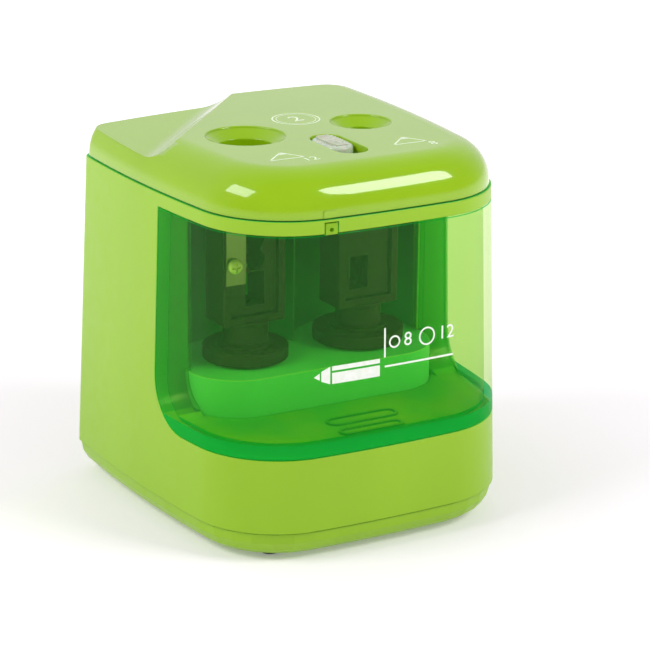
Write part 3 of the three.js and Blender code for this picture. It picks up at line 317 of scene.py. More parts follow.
def lathe(profile, x, y, sides=64):
    """A profile of (radius, height) pairs, turned about a vertical line."""
    rings = []
    for radius, height in profile:
        r = max(radius, 1e-3)
        rings.append([(x + px, y + py, height) for px, py in circle(r, sides)])
    return loft(rings)


def rod(radius, height, x, y, z, sides=64):
    return lathe([(radius, z), (radius, z + height)], x, y, sides)


def combine(operation, first, *others):
    for other in others:
        modifier = first.modifiers.new("combine", "BOOLEAN")
        modifier.operation, modifier.object, modifier.solver = operation, other, "MANIFOLD"
        bpy.context.view_layer.update()
        graph = bpy.context.evaluated_depsgraph_get()
        mesh = bpy.data.meshes.new_from_object(first.evaluated_get(graph))
        first.modifiers.clear()
        used, first.data = first.data, mesh
        bpy.data.meshes.remove(used)
        bpy.data.objects.remove(other)
    return first


def cut(first, *others):
    return combine("DIFFERENCE", first, *others)


def join(first, *others):
    return combine("UNION", first, *others)


def common(first, *others):
    return combine("INTERSECT", first, *others)


def inside(inset, bottom, top):
    """The room within the case's walls, inset from its outline."""
    return loft([outline(bottom, inset), outline(top, inset)])


def stadium(width, length, x, y, steps=24):
    radius, reach = width / 2, (length - width) / 2
    far = arc(x, y + reach, radius, 0, math.pi, steps)
    near = arc(x, y - reach, radius, math.pi, 2 * math.pi, steps)
    return far + near


def lying(points, x, y):
    """Points of an upright outline laid across, along X."""
    return [(x + py, y - px) for px, py in points]


def move(made, x, y, z):
    made.data.transform(Matrix.Translation((x, y, z)))
    return made


def turn_x(made, degrees):
    made.data.transform(Matrix.Rotation(math.radians(degrees), 4, "X"))
    return made


def rounded(width, depth, radius, x, y, steps=6):
    """A rectangle with round corners, as points."""
    w, d = width / 2 - radius, depth / 2 - radius
    points = []
    for i, (sx, sy) in enumerate(((1, -1), (1, 1), (-1, 1), (-1, -1))):
        points += arc(x + sx * w, y + sy * d, radius, (i - 1) * HALF_PI, i * HALF_PI, steps)
    return points


def rounded_block(width, depth, height, x, y, z, radius, edge):
    """A block with round upright corners and a rounded rim above and below."""
    rings = [(z + edge * (1 - math.cos(a)), edge * (1 - math.sin(a))) for a in quarter(4)]
    rings += [(2 * z + height - level, inset) for level, inset in reversed(rings)]
    return loft([
        [(px, py, level) for px, py in rounded(width - 2 * s, depth - 2 * s, max(radius - s, 0.05), x, y)]
        for level, s in rings
    ])


# ---- Materials ----


# Noise scales, per metre: slow flow marks, uneven gloss and the fine grain of a mould.
FLOW_SCALE, GLOSS_SCALE, GRAIN_SCALE = 38, 260, 1500


def set_range(node, start, end, low, high):
    for key, value in (("From Min", start), ("From Max", end), ("To Min", low), ("To Max", high)):
        node.inputs[key].default_value = value


class Look:
    """A node material with short calls for the patterns used here."""

    def __init__(self, name):
        self.material = bpy.data.materials.new(name)
        self.material.use_nodes = True
        self.tree = self.material.node_tree
        self.tree.nodes.clear()
        self.output = self.add("ShaderNodeOutputMaterial")
        self.place = self.add("ShaderNodeTexCoord").outputs["Object"]

    def add(self, kind, inputs=None, **values):
        node = self.tree.nodes.new(kind)
        for key, value in values.items():
            setattr(node, key, value)
        for key, value in (inputs or {}).items():
            node.inputs[key].default_value = value
        return node

    def link(self, source, target):
        self.tree.links.new(source, target)

    def stretched(self, x=1.0, y=1.0, z=1.0):
        mapping = self.add("ShaderNodeMapping", {"Scale": (x, y, z)})
        self.link(self.place, mapping.inputs["Vector"])
        return mapping.outputs["Vector"]

    def noise(self, scale, detail=3.0, vector=None):
        node = self.add("ShaderNodeTexNoise", {"Scale": scale, "Detail": detail})
        self.link(vector or self.place, node.inputs["Vector"])
        return node.outputs["Fac"]

    def blend(self, low, high, factor, start=0.3, end=0.7):
        ramp = self.add("ShaderNodeValToRGB")
        ramp.color_ramp.elements[0].position, ramp.color_ramp.elements[1].position = start, end
        ramp.color_ramp.elements[0].color = (*low, 1)
        ramp.color_ramp.elements[1].color = (*high, 1)
        self.link(factor, ramp.inputs["Fac"])
        return ramp.outputs["Color"]

    def mixed(self, first, second, factor):
        node = self.add("ShaderNodeMix", data_type="RGBA")
        sockets = [i for i in node.inputs if i.type == "RGBA"]
        for socket, value in zip(sockets, (first, second)):
            if isinstance(value, tuple):
                socket.default_value = (*value, 1)
            else:
                self.link(value, socket)
        self.link(factor, node.inputs[0])
        return next(o for o in node.outputs if o.type == "RGBA")

    def ranged(self, factor, low, high, start=0.3, end=0.7):
        node = self.add("ShaderNodeMapRange")
        set_range(node, start, end, low, high)
        self.link(factor, node.inputs["Value"])
        return node.outputs["Result"]

    def part_of(self, vector, part):
        split = self.add("ShaderNodeSeparateXYZ")
        self.link(vector, split.inputs[0])
        return split.outputs[part]

    def coordinate(self, part):
        """One of the piece's own coordinates, in millimetres."""
        return self.math("MULTIPLY", self.part_of(self.place, part), 1 / MM)

    def soft_edges(self, radius):
        return self.add("ShaderNodeBevel", {"Radius": radius * MM}, samples=8).outputs["Normal"]

    def flat_normal(self):
        return self.add("ShaderNodeNewGeometry").outputs["True Normal"]

    def facing(self, part):
        """How far a face looks along an axis, one way or the other, from 0 to 1."""
        return self.math("ABSOLUTE", self.part_of(self.flat_normal(), part), 0.0)

    def edge_strip(self, radius):
        """1 along the piece's edges, within the radius, and 0 elsewhere."""
        turn = self.add("ShaderNodeVectorMath", operation="DOT_PRODUCT")
        self.link(self.soft_edges(radius), turn.inputs[0])
        self.link(self.flat_normal(), turn.inputs[1])
        return self.ranged(turn.outputs["Value"], 1.0, 0.0, 0.90, 0.985)

    def bump(self, height, depth, strength=1.0, normal=None):
        node = self.add("ShaderNodeBump", {"Strength": strength, "Distance": depth * MM})
        self.link(height, node.inputs["Height"])
        if normal:
            self.link(normal, node.inputs["Normal"])
        return node.outputs["Normal"]

    def grained(self, depth, edge):
        """The normal of moulded plastic: soft edges under a fine grain."""
        return self.bump(self.noise(GRAIN_SCALE, 2), depth, 0.25, self.soft_edges(edge))

    def flow(self):
        """Faint marks drawn out upwards, as the plastic flowed."""
        return self.noise(FLOW_SCALE, 4, self.stretched(1, 1, 0.35))

    def math(self, operation, first, second):
        node = self.add("ShaderNodeMath", operation=operation)
        for socket, value in zip(node.inputs, (first, second)):
            if isinstance(value, float):
                socket.default_value = value
            else:
                self.link(value, socket)
        return node.outputs[0]

    def schlick(self, head_on, at_a_slant):
        """The share that a thin wall mirrors from either side: little head on, more at a slant."""
        facing = self.add("ShaderNodeLayerWeight", {"Blend": 0.5})
        steep = self.math("POWER", facing.outputs["Facing"], 5.0)
        return self.math("ADD", self.math("MULTIPLY", steep, at_a_slant - head_on), head_on)

    def mix_shaders(self, share, first, second):
        node = self.add("ShaderNodeMixShader")
        self.link(share, node.inputs["Fac"])
        self.link(first.outputs[0], node.inputs[1])
        self.link(second.outputs[0], node.inputs[2])
        return node

    def surface(self, color, roughness, normal=None, **sockets):
        values = {key.replace("_", " "): value for key, value in sockets.items()}
        node = self.add("ShaderNodeBsdfPrincipled", values)
        self.link(color, node.inputs["Base Color"])
        self.link(roughness, node.inputs["Roughness"])
        if normal:
            self.link(normal, node.inputs["Normal"])
        self.link(node.outputs[0], self.output.inputs["Surface"])
        return node


def shade(color, factor):
    return tuple(min(c * factor, 1) for c in color)


def moulded(name, color, rough, edge=0.35, grain=0.004, rim=None, **sockets):
    """Moulded plastic: flow marks, uneven gloss, a fine grain, soft edges and perhaps painted highlights along the
    rims.
    """
    look = Look(name)
    tint = look.blend(shade(color, 0.965), shade(color, 1.03), look.flow())
    # A rim colour is a painted highlight, mixed in along the edges.
    if rim:
        tint = look.mixed(tint, rim, look.edge_strip(0.5))
    gloss = look.ranged(look.noise(GLOSS_SCALE, 3), rough * 0.88, rough * 1.14)
    look.surface(tint, gloss, look.grained(grain, edge), **sockets)
    return look.material


def metal(name, color, rough, stretch=(1, 1, 30), edge=0.12, metallic=1.0):
    """Drawn metal: fine lines along one way, in gloss and height, and a slight cast in the colour."""
    look = Look(name)
    lines = look.noise(900, 4, look.stretched(*(1 / s if s > 1 else 1 for s in stretch)))
    tint = look.blend(shade(color, 0.93), color, lines)
    gloss = look.ranged(lines, rough * 0.75, rough * 1.3)
    normal = look.bump(lines, 0.002, 0.25, look.soft_edges(edge))
    look.surface(tint, gloss, normal, Metallic=metallic)
    return look.material


CASE_GREEN = (0.285, 0.520, 0.010)
LID_GREEN = (0.285, 0.500, 0.004)
INNER_GREEN = (0.110, 0.770, 0.200)
POCKET_GREEN = (0.050, 0.600, 0.080)
# Painted highlights: lighter greens laid along the edges of the deck, the case's pocket and the chamber.
INNER_EDGE_HIGHLIGHT, POCKET_EDGE_HIGHLIGHT = (0.330, 0.860, 0.130), (0.380, 0.800, 0.060)
# Painted shade: the chamber's green goes from the low colour to the darker high one towards the lid.
CHAMBER_LOW, CHAMBER_HIGH, CHAMBER_EDGE_HIGHLIGHT = (0.050, 0.620, 0.160), (0.012, 0.180, 0.045), (0.120, 0.620, 0.180)
CHAMBER_DARKENS_FROM, CHAMBER_DARK_AT = 38.0, 66.0

case_look = moulded(
    "case_green", CASE_GREEN, 0.36, Coat_Weight=0.12, Coat_Roughness=0.22, Specular_IOR_Level=0.3)
lid_look = moulded(
    "lid_green", LID_GREEN, 0.2, grain=0.001, Coat_Weight=0.8, Coat_Roughness=0.03, Specular_IOR_Level=0.1)
# The inner green glows faintly: a painted glow standing in for light scattered through the plastic.
inner_look = moulded(
    "inner_green", INNER_GREEN, 0.38, rim=INNER_EDGE_HIGHLIGHT,
    Emission_Color=(*INNER_GREEN, 1), Emission_Strength=0.06, Specular_IOR_Level=0.3)
pocket_look = moulded("pocket_green", POCKET_GREEN, 0.38, rim=POCKET_EDGE_HIGHLIGHT, Specular_IOR_Level=0.3)
dark_look = moulded("cutter_black", (0.026, 0.030, 0.020), 0.5, edge=0.2, Specular_IOR_Level=0.3)
black_look = moulded("switch_black", (0.022, 0.022, 0.022), 0.42)
gear_look = moulded("gear_white", (0.80, 0.78, 0.70), 0.45, edge=0.1, Subsurface_Weight=0.1)
steel_look = metal("steel", (0.60, 0.61, 0.62), 0.24)
blade_look = metal("blade_steel", (0.26, 0.27, 0.20), 0.34)
screw_look = metal("screw_steel", (0.85, 0.86, 0.42), 0.42, stretch=(1, 1, 1), metallic=0.6)
motor_look = metal("motor_steel", (0.55, 0.56, 0.57), 0.34, stretch=(30, 30, 1))
brass_look = metal("brass", (0.70, 0.52, 0.22), 0.26)
spring_look = metal("spring_steel", (0.66, 0.66, 0.66), 0.18)


def chamber_material():
    """Moulded plastic with painted shade that deepens towards the lid, where little light gets in, and painted
    highlights along its edges.
    """
    look = Look("chamber_green")
    # Painted shade, darker with height, its border made uneven by the flow marks.
    uneven = look.math("ADD", look.coordinate("Z"), look.math("MULTIPLY", look.flow(), 5.0))
    darker = look.ranged(uneven, 0.0, 1.0, CHAMBER_DARKENS_FROM, CHAMBER_DARK_AT)
    tint = look.blend(CHAMBER_LOW, CHAMBER_HIGH, darker, 0.0, 1.0)
    # Painted highlight along the chamber's edges and its ridge.
    tint = look.mixed(tint, CHAMBER_EDGE_HIGHLIGHT, look.edge_strip(0.5))
    gloss = look.ranged(look.noise(GLOSS_SCALE, 3), 0.36, 0.46)
    look.surface(tint, gloss, look.grained(0.004, 0.2), Specular_IOR_Level=0.3)
    return look.material


def knob_material():
    look = Look("knob_clear")
    cloud = look.noise(300, 3)
    tint = look.blend((0.46, 0.53, 0.42), (0.58, 0.65, 0.53), cloud)
    gloss = look.ranged(look.noise(900, 2), 0.22, 0.34)
    normal = look.bump(look.noise(2400, 2), 0.003, 0.5, look.soft_edges(0.15))
    look.surface(tint, gloss, normal, Subsurface_Weight=0.35, Subsurface_Scale=0.002, Coat_Weight=0.3)
    return look.material


def rubber_material():
    look = Look("foot_rubber")
    speck = look.noise(1400, 4)
    tint = look.blend((0.012, 0.012, 0.012), (0.035, 0.035, 0.034), speck)
    normal = look.bump(speck, 0.02, 0.8, look.soft_edges(0.3))
    look.surface(tint, look.ranged(speck, 0.7, 0.95), normal)
    return look.material


BATTERY_BAND_Y = 8.0


def battery_material():
    """A steel cell with a dark jacket and a light band near one end."""
    look = Look("battery_jacket")
    place = look.coordinate("Y")
    fine = look.noise(700, 3)
    band = look.ranged(place, 0.0, 1.0, BATTERY_BAND_Y, BATTERY_BAND_Y + 0.1)
    jacket = look.blend((0.045, 0.050, 0.055), (0.42, 0.44, 0.45), band, 0.49, 0.51)
    end = look.ranged(look.facing("Y"), 0.0, 1.0, 0.6, 0.61)
    tint = look.mixed(jacket, (0.62, 0.62, 0.62), end)
    gloss = look.ranged(fine, 0.24, 0.36)
    node = look.surface(tint, gloss, look.bump(fine, 0.003, 0.3, look.soft_edges(0.4)))
    look.link(end, node.inputs["Metallic"])
    return look.material


def print_material(name, low, high):
    """Printing ink: slightly uneven cover."""
    look = Look(name)
    cover = look.noise(900, 4)
    tint = look.blend(low, high, cover)
    look.surface(tint, look.ranged(cover, 0.4, 0.6), look.bump(cover, 0.002, 0.4))
    return look.material


# What one surface of the bin's wall lets through: a wall has two.
CLEAR_TINT_LOW, CLEAR_TINT_HIGH = (0.810, 0.915, 0.625), (0.830, 0.925, 0.655)
# The rim is the strip along an edge, in mm; below THICK_Z the plastic counts as thick.
CLEAR_THICK, CLEAR_RIM, THICK_Z = (0.060, 0.750, 0.330), 0.6, BIN_BOTTOM_Z + 3.4
# Colours of the haze, and its share, on a wall, on the floor, along a rim and on the latch tab.
HAZE_GREEN, HAZE = (0.040, 0.620, 0.030), 0.045
GROUND_DEEP, GROUND_BRIGHT, HAZE_GROUND = (0.110, 0.800, 0.090), (0.340, 0.880, 0.050), 0.5
RIM_GREEN, HAZE_RIM = (0.001, 0.500, 0.050), 0.5
TAB_GREEN, HAZE_TAB = (0.330, 0.600, 0.030), 0.70
MIRROR_HEAD_ON, MIRROR_AT_A_SLANT = 0.008, 0.32


def clear_material():
    """Clear green plastic: thin walls tint what is behind them, thick rims go deep green."""
    look = Look("clear_green")
    flow = look.noise(30, 3, look.stretched(1, 1, 0.3))
    up = look.coordinate("Z")
    flat = look.math("GREATER_THAN", look.facing("Z"), 0.5)
    low = look.math("LESS_THAN", up, THICK_Z)
    ground = look.math("MULTIPLY", flat, low)
    rim = look.math("MAXIMUM", look.edge_strip(CLEAR_RIM), look.math("SUBTRACT", low, ground))
    wall = look.blend(CLEAR_TINT_LOW, CLEAR_TINT_HIGH, flow)
    see = look.add("ShaderNodeBsdfTransparent")
    look.link(look.mixed(wall, CLEAR_THICK, rim), see.inputs["Color"])
    mirror = look.add("ShaderNodeBsdfGlossy")
    look.link(look.ranged(look.noise(GLOSS_SCALE, 2), 0.02, 0.05), mirror.inputs["Roughness"])
    normal = look.bump(look.noise(60, 2), 0.01, 0.3, look.soft_edges(0.3))
    look.link(normal, mirror.inputs["Normal"])
    tab = look.math("GREATER_THAN", up, BIN_TOP_Z + 0.01)
    haze = look.add("ShaderNodeBsdfDiffuse")
    mottled = look.blend(GROUND_DEEP, GROUND_BRIGHT, look.noise(45, 3), 0.38, 0.62)
    tones = look.mixed(look.mixed(HAZE_GREEN, mottled, ground), RIM_GREEN, rim)
    look.link(look.mixed(tones, TAB_GREEN, tab), haze.inputs["Color"])
    cover = HAZE
    for where, share in ((ground, HAZE_GROUND), (rim, HAZE_RIM), (tab, HAZE_TAB)):
        cover = look.math("MAXIMUM", look.math("MULTIPLY", where, share), cover)
    body = look.mix_shaders(cover, see, haze)
    both = look.mix_shaders(look.schlick(MIRROR_HEAD_ON, MIRROR_AT_A_SLANT), body, mirror)
    look.link(both.outputs[0], look.output.inputs["Surface"])
    return look.material


knob_look, rubber_look = knob_material(), rubber_material()
battery_look, chamber_look = battery_material(), chamber_material()
print_look = print_material("print_white", (0.80, 0.86, 0.74), (0.90, 0.93, 0.87))
lid_print_look = print_material("print_pale", (0.78, 0.92, 0.66), (0.84, 0.95, 0.72))
clear_look = clear_material()

# ---- Making a piece ----

SHARP = math.radians(32)


def finished(name, made, look, body, node=None, slot=None):
    """Names a solid, turns it to metres, sets its shading and lets it ride on a CAD body."""
    made.name = name
    made.data.name = name
    made.data.transform(Matrix.Scale(MM, 4))
    shape = bmesh.new()
    shape.from_mesh(made.data)
    bmesh.ops.remove_doubles(shape, verts=shape.verts, dist=1e-7)
    bmesh.ops.dissolve_degenerate(shape, edges=shape.edges, dist=1e-7)
    bmesh.ops.recalc_face_normals(shape, faces=shape.faces)
    for face in shape.faces:
        face.smooth = True
    for edge in shape.edges:
        edge.smooth = len(edge.link_faces) == 2 and edge.calc_face_angle(0) < SHARP
    shape.to_mesh(made.data)
    shape.free()
    made.data.materials.clear()
    made.data.materials.append(look)
    weighted = made.modifiers.new("weighted", "WEIGHTED_NORMAL")
    weighted.keep_sharp = True
    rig.ride(made, body)
    if node:
        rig.replaces(made, node)
    if slot:
        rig.slot(made, slot)
    return made


# ---- Case ----


def bin_side_view(grow, top_z):
    """The bin from the side in Y and Z, open to the front: its lower back corner is round."""
    rear, bottom, radius = BIN_REAR_Y + grow, BIN_BOTTOM_Z - grow, BIN_CORNER + grow
    front = -CASE_DEPTH
    corner = arc(rear - radius, bottom + radius, radius, -HALF_PI, 0, 18)
    return [(front, bottom), *corner, (rear, top_z), (front, top_z)]


def bin_across(grow, top_z):
    return prism_x(bin_side_view(grow, top_z), -CASE_WIDTH, CASE_WIDTH)


def gearbox_outline(grow):
    """The deck from above: a narrow front part with round corners, and a wider back part."""
    narrow, wide = SKIRT_HALF_WIDTH + grow, DECK_HALF_WIDTH + grow
    front, radius = SKIRT_FRONT_Y - grow, SKIRT_CORNER + grow
    shoulder = BIN_REAR_Y + BIN_GAP + POCKET_WALL + GAP - grow
    right = arc(narrow - radius, front + radius, radius, -HALF_PI, 0, 16)
    right += [(narrow, shoulder), (wide, shoulder), (wide, DECK_HI.y + grow)]
    return right + [(-x, y) for x, y in reversed(right)]


def make_case():
    """Walls, window, latch notch and the bin's pocket: the CAD's hidden screw posts are left out."""
    outer = loft([outline(BASE_SEAM_Z + GAP), outline(LID_SEAM_Z)])
    window = bin_across(BIN_GAP, BIN_TOP_Z + BIN_GAP)
    notch_depth = 2 * (FRONT_LEAN + WALL + 1)
    notch = block(
        LATCH_WIDTH + 2 * GAP, notch_depth, LATCH_HEIGHT + GAP, LATCH_X, FRONT_Y, BIN_TOP_Z)
    walls = cut(outer, inside(WALL, 0, TOP_Z), window, notch)
    band_outer = bin_across(BIN_GAP + POCKET_WALL, LID_SEAM_Z - GAP)
    band_inner = bin_across(BIN_GAP, TOP_Z)
    band_room = inside(WALL / 2, BASE_SEAM_Z + GAP, LID_SEAM_Z - LIP_DROP - 2 * GAP)
    band = common(cut(band_outer, band_inner), band_room)
    gearbox_room = prism_z(gearbox_outline(GAP), BIN_BOTTOM_Z - BIN_GAP, DECK_TOP_Z + GAP)
    chamber_room = block(2 * CHAMBER_HALF_WIDTH, CASE_DEPTH, TOP_Z, 0, 0, DECK_TOP_Z)
    return join(walls, cut(band, gearbox_room, chamber_room))


def lid_rings(shrink, lowest, steps):
    """Outlines from the lid's lower edge to its flat top; the back edge is tighter than the others."""
    base = LID_INSET + shrink
    shoulder = TOP_Z - LID_FILLET
    rings = [outline(lowest, base, base, BACK_CORNER)]
    for angle in quarter(steps):
        inset = base + (LID_FILLET - shrink) * (1 - math.cos(angle))
        back_inset = base + LID_BACK_EDGE * (1 - math.cos(angle)) ** 2
        z = shoulder + (LID_FILLET - shrink) * math.sin(angle)
        rings.append(outline(z, inset, back_inset, BACK_CORNER))
    return rings


def scoop(shrink):
    """The hollow swept out of the lid's back left corner, up to a crisp crest on the flat top."""
    top = TOP_Z - shrink
    start = Vector((0, top))
    pull, end = Vector((SCOOP_STEEPEST, top - SCOOP_DROP)), Vector((SCOOP_RUN, top - SCOOP_DROP))
    points = []
    for i in range(25):
        t = i / 24
        points.append(start * (1 - t) ** 2 + pull * (2 * t * (1 - t)) + end * t * t)
    far = CASE_DEPTH
    above = top + far / 4
    points += [Vector((far, top - SCOOP_DROP)), Vector((far, above)), Vector((-far / 4, above))]
    along = Vector((math.cos(SCOOP_ANGLE), math.sin(SCOOP_ANGLE), SCOOP_RISE))
    away = Vector((-math.sin(SCOOP_ANGLE), math.cos(SCOOP_ANGLE), 0))
    middle = Vector((-SCOOP_CREST_Y / 2, SCOOP_CREST_Y / 2, 0))
    rings = []
    for reach in (-far, far):
        rings.append([
            middle + away * (p.x - shrink) + Vector((0, 0, p.y)) + along * reach for p in points])
    return loft(rings)


def hole_tool(x, bore, mouth):
    """What a countersunk pencil hole takes out of the lid: a rounded rim, a cone and the bore."""
    cone_z = TOP_Z - MOUTH_DEPTH
    profile = [(bore, 0), (bore, cone_z - 0.25), (bore + 0.12, cone_z)]
    for angle in quarter(6):
        radius = mouth - HOLE_RIM * 0.35 + HOLE_RIM * (1 - math.cos(angle))
        profile.append((radius, TOP_Z - HOLE_RIM + HOLE_RIM * math.sin(angle)))
    profile += [(profile[-1][0], TOP_Z + 2)]
    return lathe(profile, x, HOLE_Y, 96)


def lid_lip():
    """The lip under the lid that reaches into the case."""
    bottom, top = LID_SEAM_Z - LIP_DROP, LID_SEAM_Z + GAP + LIP_RISE
    outer, inner = WALL + GAP, WALL + GAP + LIP_WALL
    return cut(
        loft([outline(bottom, outer), outline(top, outer)]),
        loft([outline(bottom - 1, inner), outline(top + 1, inner)]))


def switch_slot():
    """What the switch slot takes out of the lid: a slot with a rounded upper rim."""
    levels = (
        (LID_SEAM_Z, 0), (TOP_Z - SLOT_EDGE, 0), (TOP_Z - SLOT_EDGE * 0.3, SLOT_EDGE * 0.3),
        (TOP_Z + 0.001, SLOT_EDGE), (TOP_Z + 1, SLOT_EDGE))
    return loft([
        [(x, y, z) for x, y in stadium(SLOT_WIDTH + 2 * grow, SLOT_LENGTH + 2 * grow, 0, SLOT_Y)]
        for z, grow in levels])


def make_lid():
    """The lid: a hollow cover with a lip, a latch tab, guides and collars round the pencil holes."""
    bottom = LID_SEAM_Z + GAP
    outer = loft(lid_rings(0, bottom, 16))
    hollow = cut(loft(lid_rings(LID_WALL, bottom - GAP, 8)), scoop(LID_WALL))
    lip = lid_lip()
    guides = [
        rod(bore + GUIDE_WALL, GUIDE_LENGTH - LID_WALL + GAP, x, HOLE_Y, TOP_Z - GUIDE_LENGTH)
        for x, bore in ((-HOLE_X, LARGE_BORE), (HOLE_X, SMALL_BORE))]
    collar_z = TOP_Z - LID_WALL - COLLAR_DROP
    collars = [
        rod(mouth + GUIDE_WALL, LID_WALL + COLLAR_EXTRA, x, HOLE_Y, collar_z)
        for x, mouth in ((-HOLE_X, LARGE_MOUTH), (HOLE_X, SMALL_MOUTH))]
    tab_width, tab_y = LATCH_WIDTH + LID_TAB_EXTRA, FRONT_Y + 2 * WALL
    tab = common(
        block(tab_width, 2 * WALL, LID_TAB_HEIGHT, LATCH_X, tab_y, bottom),
        inside(LID_TAB_INSET, bottom - 1, bottom + 3))
    skin = join(cut(outer, hollow), lip, tab, *guides, *collars)
    slot = switch_slot()
    holes = [hole_tool(-HOLE_X, LARGE_BORE, LARGE_MOUTH), hole_tool(HOLE_X, SMALL_BORE, SMALL_MOUTH)]
    return cut(skin, scoop(0), slot, *holes)


def floor_ring(x, y, length, width, floor_top):
    """One long ring standing on the bin's floor."""
    hole_width, hole_length = width - 2 * RING_LINE, length - 2 * RING_LINE
    outer = lying(stadium(width, length, 0, 0), x, y)
    inner = lying(stadium(hole_width, hole_length, 0, 0), x, y)
    return cut(
        prism_z(outer, floor_top - RING_ROOT, floor_top + RING_RISE), prism_z(inner, 0, TOP_Z))


def latch_tab():
    """The tab on the bin's upper edge that snaps into the strip above, with its peg hole."""
    front = FRONT_Y + WALL
    bar = block(LATCH_WIDTH, WALL * 2, LATCH_HEIGHT + 1, LATCH_X, front, BIN_TOP_Z - 1)
    strip = loft([outline(BIN_TOP_Z - 1), outline(LID_SEAM_Z)])
    tab = cut(common(strip, bar), inside(BIN_WALL, 0, TOP_Z))
    peg = turn_x(rod(TAB_HOLE, 4 * WALL, 0, 0, -2 * WALL, 24), 90)
    return cut(tab, move(peg, LATCH_X, front, BIN_TOP_Z + TAB_HOLE_RISE))


def make_bin():
    """The clear drawer: front and side walls in one curve, a floor with two rings, and the latch tab."""
    outside = common(loft([outline(BIN_BOTTOM_Z), outline(BIN_TOP_Z)]), bin_across(0, BIN_TOP_Z))
    floor_top = BIN_BOTTOM_Z + BIN_FLOOR
    hollow = common(
        inside(BIN_WALL, 0, TOP_Z),
        bin_across(-BIN_WALL, TOP_Z),
        block(2 * CASE_WIDTH, 2 * CASE_DEPTH, TOP_Z, 0, 0, floor_top))
    opening = common(
        block(2 * (CHAMBER_HALF_WIDTH + GAP), CASE_DEPTH, TOP_Z, 0, 0, floor_top),
        inside(BIN_WALL, 0, TOP_Z))
    gearbox = prism_z(gearbox_outline(RUNNING_GAP), 0, DECK_TOP_Z + RUNNING_GAP)
    rings = [floor_ring(*ring, floor_top) for ring in FLOOR_RINGS]
    return join(cut(outside, hollow, opening, gearbox), latch_tab(), *rings)


def make_deck():
    """The floor under the cutters: the CAD's motor cradle, motor hole and axle hole are left out."""
    top = prism_z(gearbox_outline(0), BIN_BOTTOM_Z, DECK_TOP_Z)
    hollow = prism_z(gearbox_outline(-SKIRT_WALL), 0, DECK_TOP_Z - DECK_THICKNESS)
    holes = [rod(SPINDLE_HOLE, TOP_Z, side * HOLE_X, HOLE_Y, 0, 48) for side in (-1, 1)]
    return cut(top, hollow, *holes)


def make_chamber():
    """Two round walls that meet in a ridge, cut off flush with the pocket in front."""
    bottom, height = CHAMBER_LO.z, CHAMBER_HI.z - CHAMBER_LO.z

    def tubes(radius, z, tall):
        return join(*[rod(radius, tall, side * HOLE_X, HOLE_Y, z, 96) for side in (-1, 1)])

    front = BIN_REAR_Y + BIN_GAP + POCKET_WALL + GAP
    ahead = block(2 * CASE_WIDTH, CASE_DEPTH, TOP_Z, 0, front - CASE_DEPTH / 2, 0)
    walls = tubes(CHAMBER_RADIUS + CHAMBER_WALL, bottom, height)
    return cut(walls, tubes(CHAMBER_RADIUS, 0, TOP_Z), ahead)


def within(x, y, points):
    """Whether a place lies inside an outline."""
    crossings = 0
    for (x0, y0, _), (x1, y1, _) in zip(points, points[1:] + points[:1]):
        if (y0 > y) != (y1 > y) and x < x0 + (y - y0) * (x1 - x0) / (y1 - y0):
            crossings += 1
    return crossings % 2 == 1


# The case's inner faces have a material of their own: this far in from the outline they count as inner.
INNER_FACES_FROM = 0.5

case = finished("case", make_case(), case_look, "case", "body_shell", "case_green")
case.data.materials.append(pocket_look)
for face in case.data.polygons:
    place = face.center / MM
    if within(place.x, place.y, outline(place.z, INNER_FACES_FROM)):
        face.material_index = 1
finished("lid", make_lid(), lid_look, "case", "top_cover", "lid_green")
finished("bin", make_bin(), clear_look, "bin", "shavings_bin", "clear_green")
finished("deck", make_deck(), inner_look, "case", "gearbox_deck", "inner_green")
finished("chamber", make_chamber(), chamber_look, "case", "chamber_wall", "inner_green")

# ---- Cutters ----


def rounded_turn(x, steps):
    """A body turned from (radius, z, rim) steps: rim 1 rounds a lower rim, -1 an upper one, 0 none."""
    profile = []
    for radius, z, rim in steps:
        if rim == 0:
            profile.append((radius, z))
            continue
        for angle in quarter(4):
            lower, upper = (math.sin(angle), -math.cos(angle)), (math.cos(angle), math.sin(angle))
            out, rise = lower if rim > 0 else upper
            profile.append((radius - DISC_CORNER + DISC_CORNER * out, z + DISC_CORNER * (rise + rim)))
    return lathe(profile, x, HOLE_Y, 72)


def make_holder(size, axis, side):
    """Spindle, disc, neck and the U that grips the sharpener block."""
    lo, hi = span(f"cutter_holder_{size}")
    disc = min((hi.x - lo.x), (hi.y - lo.y)) / 2
    top = hi.z
    disc_z = DECK_TOP_Z + RUNNING_GAP
    neck_z = disc_z + DISC_HEIGHT
    holder_z = neck_z + NECK_HEIGHT
    foot, head = NECK_RADIUS + FOOT_RING, NECK_RADIUS + HEAD_RING
    stem = rounded_turn(axis.x, [
        (SPINDLE_RADIUS, lo.z, 0), (SPINDLE_RADIUS, disc_z - SEAT_BOTTOM, 0),
        (SEAT_RADIUS, disc_z - SEAT_TOP, 0), (SEAT_RADIUS, disc_z, 0),
        (disc, disc_z, 1), (disc, disc_z + DISC_HEIGHT, -1),
        (foot, neck_z, 0), (foot, neck_z + FOOT_RING_HEIGHT, -1),
        (NECK_RADIUS, neck_z + FOOT_RING_TOP, 0), (NECK_RADIUS, holder_z - HEAD_RING_SLOPE, 0),
        (head, holder_z, 0), (head, holder_z + HEAD_RING, 0)])
    body = rounded_block(
        HOLDER_WIDTH, HOLDER_DEPTH, top - holder_z, axis.x, HOLE_Y, holder_z, HOLDER_CORNER, CUTTER_EDGE)
    room = block(HOLDER_WIDTH - 2 * CHEEK, 2 * HOLDER_DEPTH, TOP_Z, axis.x, HOLE_Y, holder_z + CHEEK)
    return cut(join(stem, cut(body, room)), shank_room(axis, side, SCREW_SHANK + GAP))


def shank_room(axis, side, radius):
    """The screw's hole through the blade's side of a cutter."""
    tool = turn_x(rod(radius, HOLDER_DEPTH, 0, 0, -HOLDER_DEPTH / 2, 32), 90)
    return move(tool, axis.x + side * SCREW_OFFSET, HOLE_Y + side * HOLDER_DEPTH / 2, SCREW_Z)


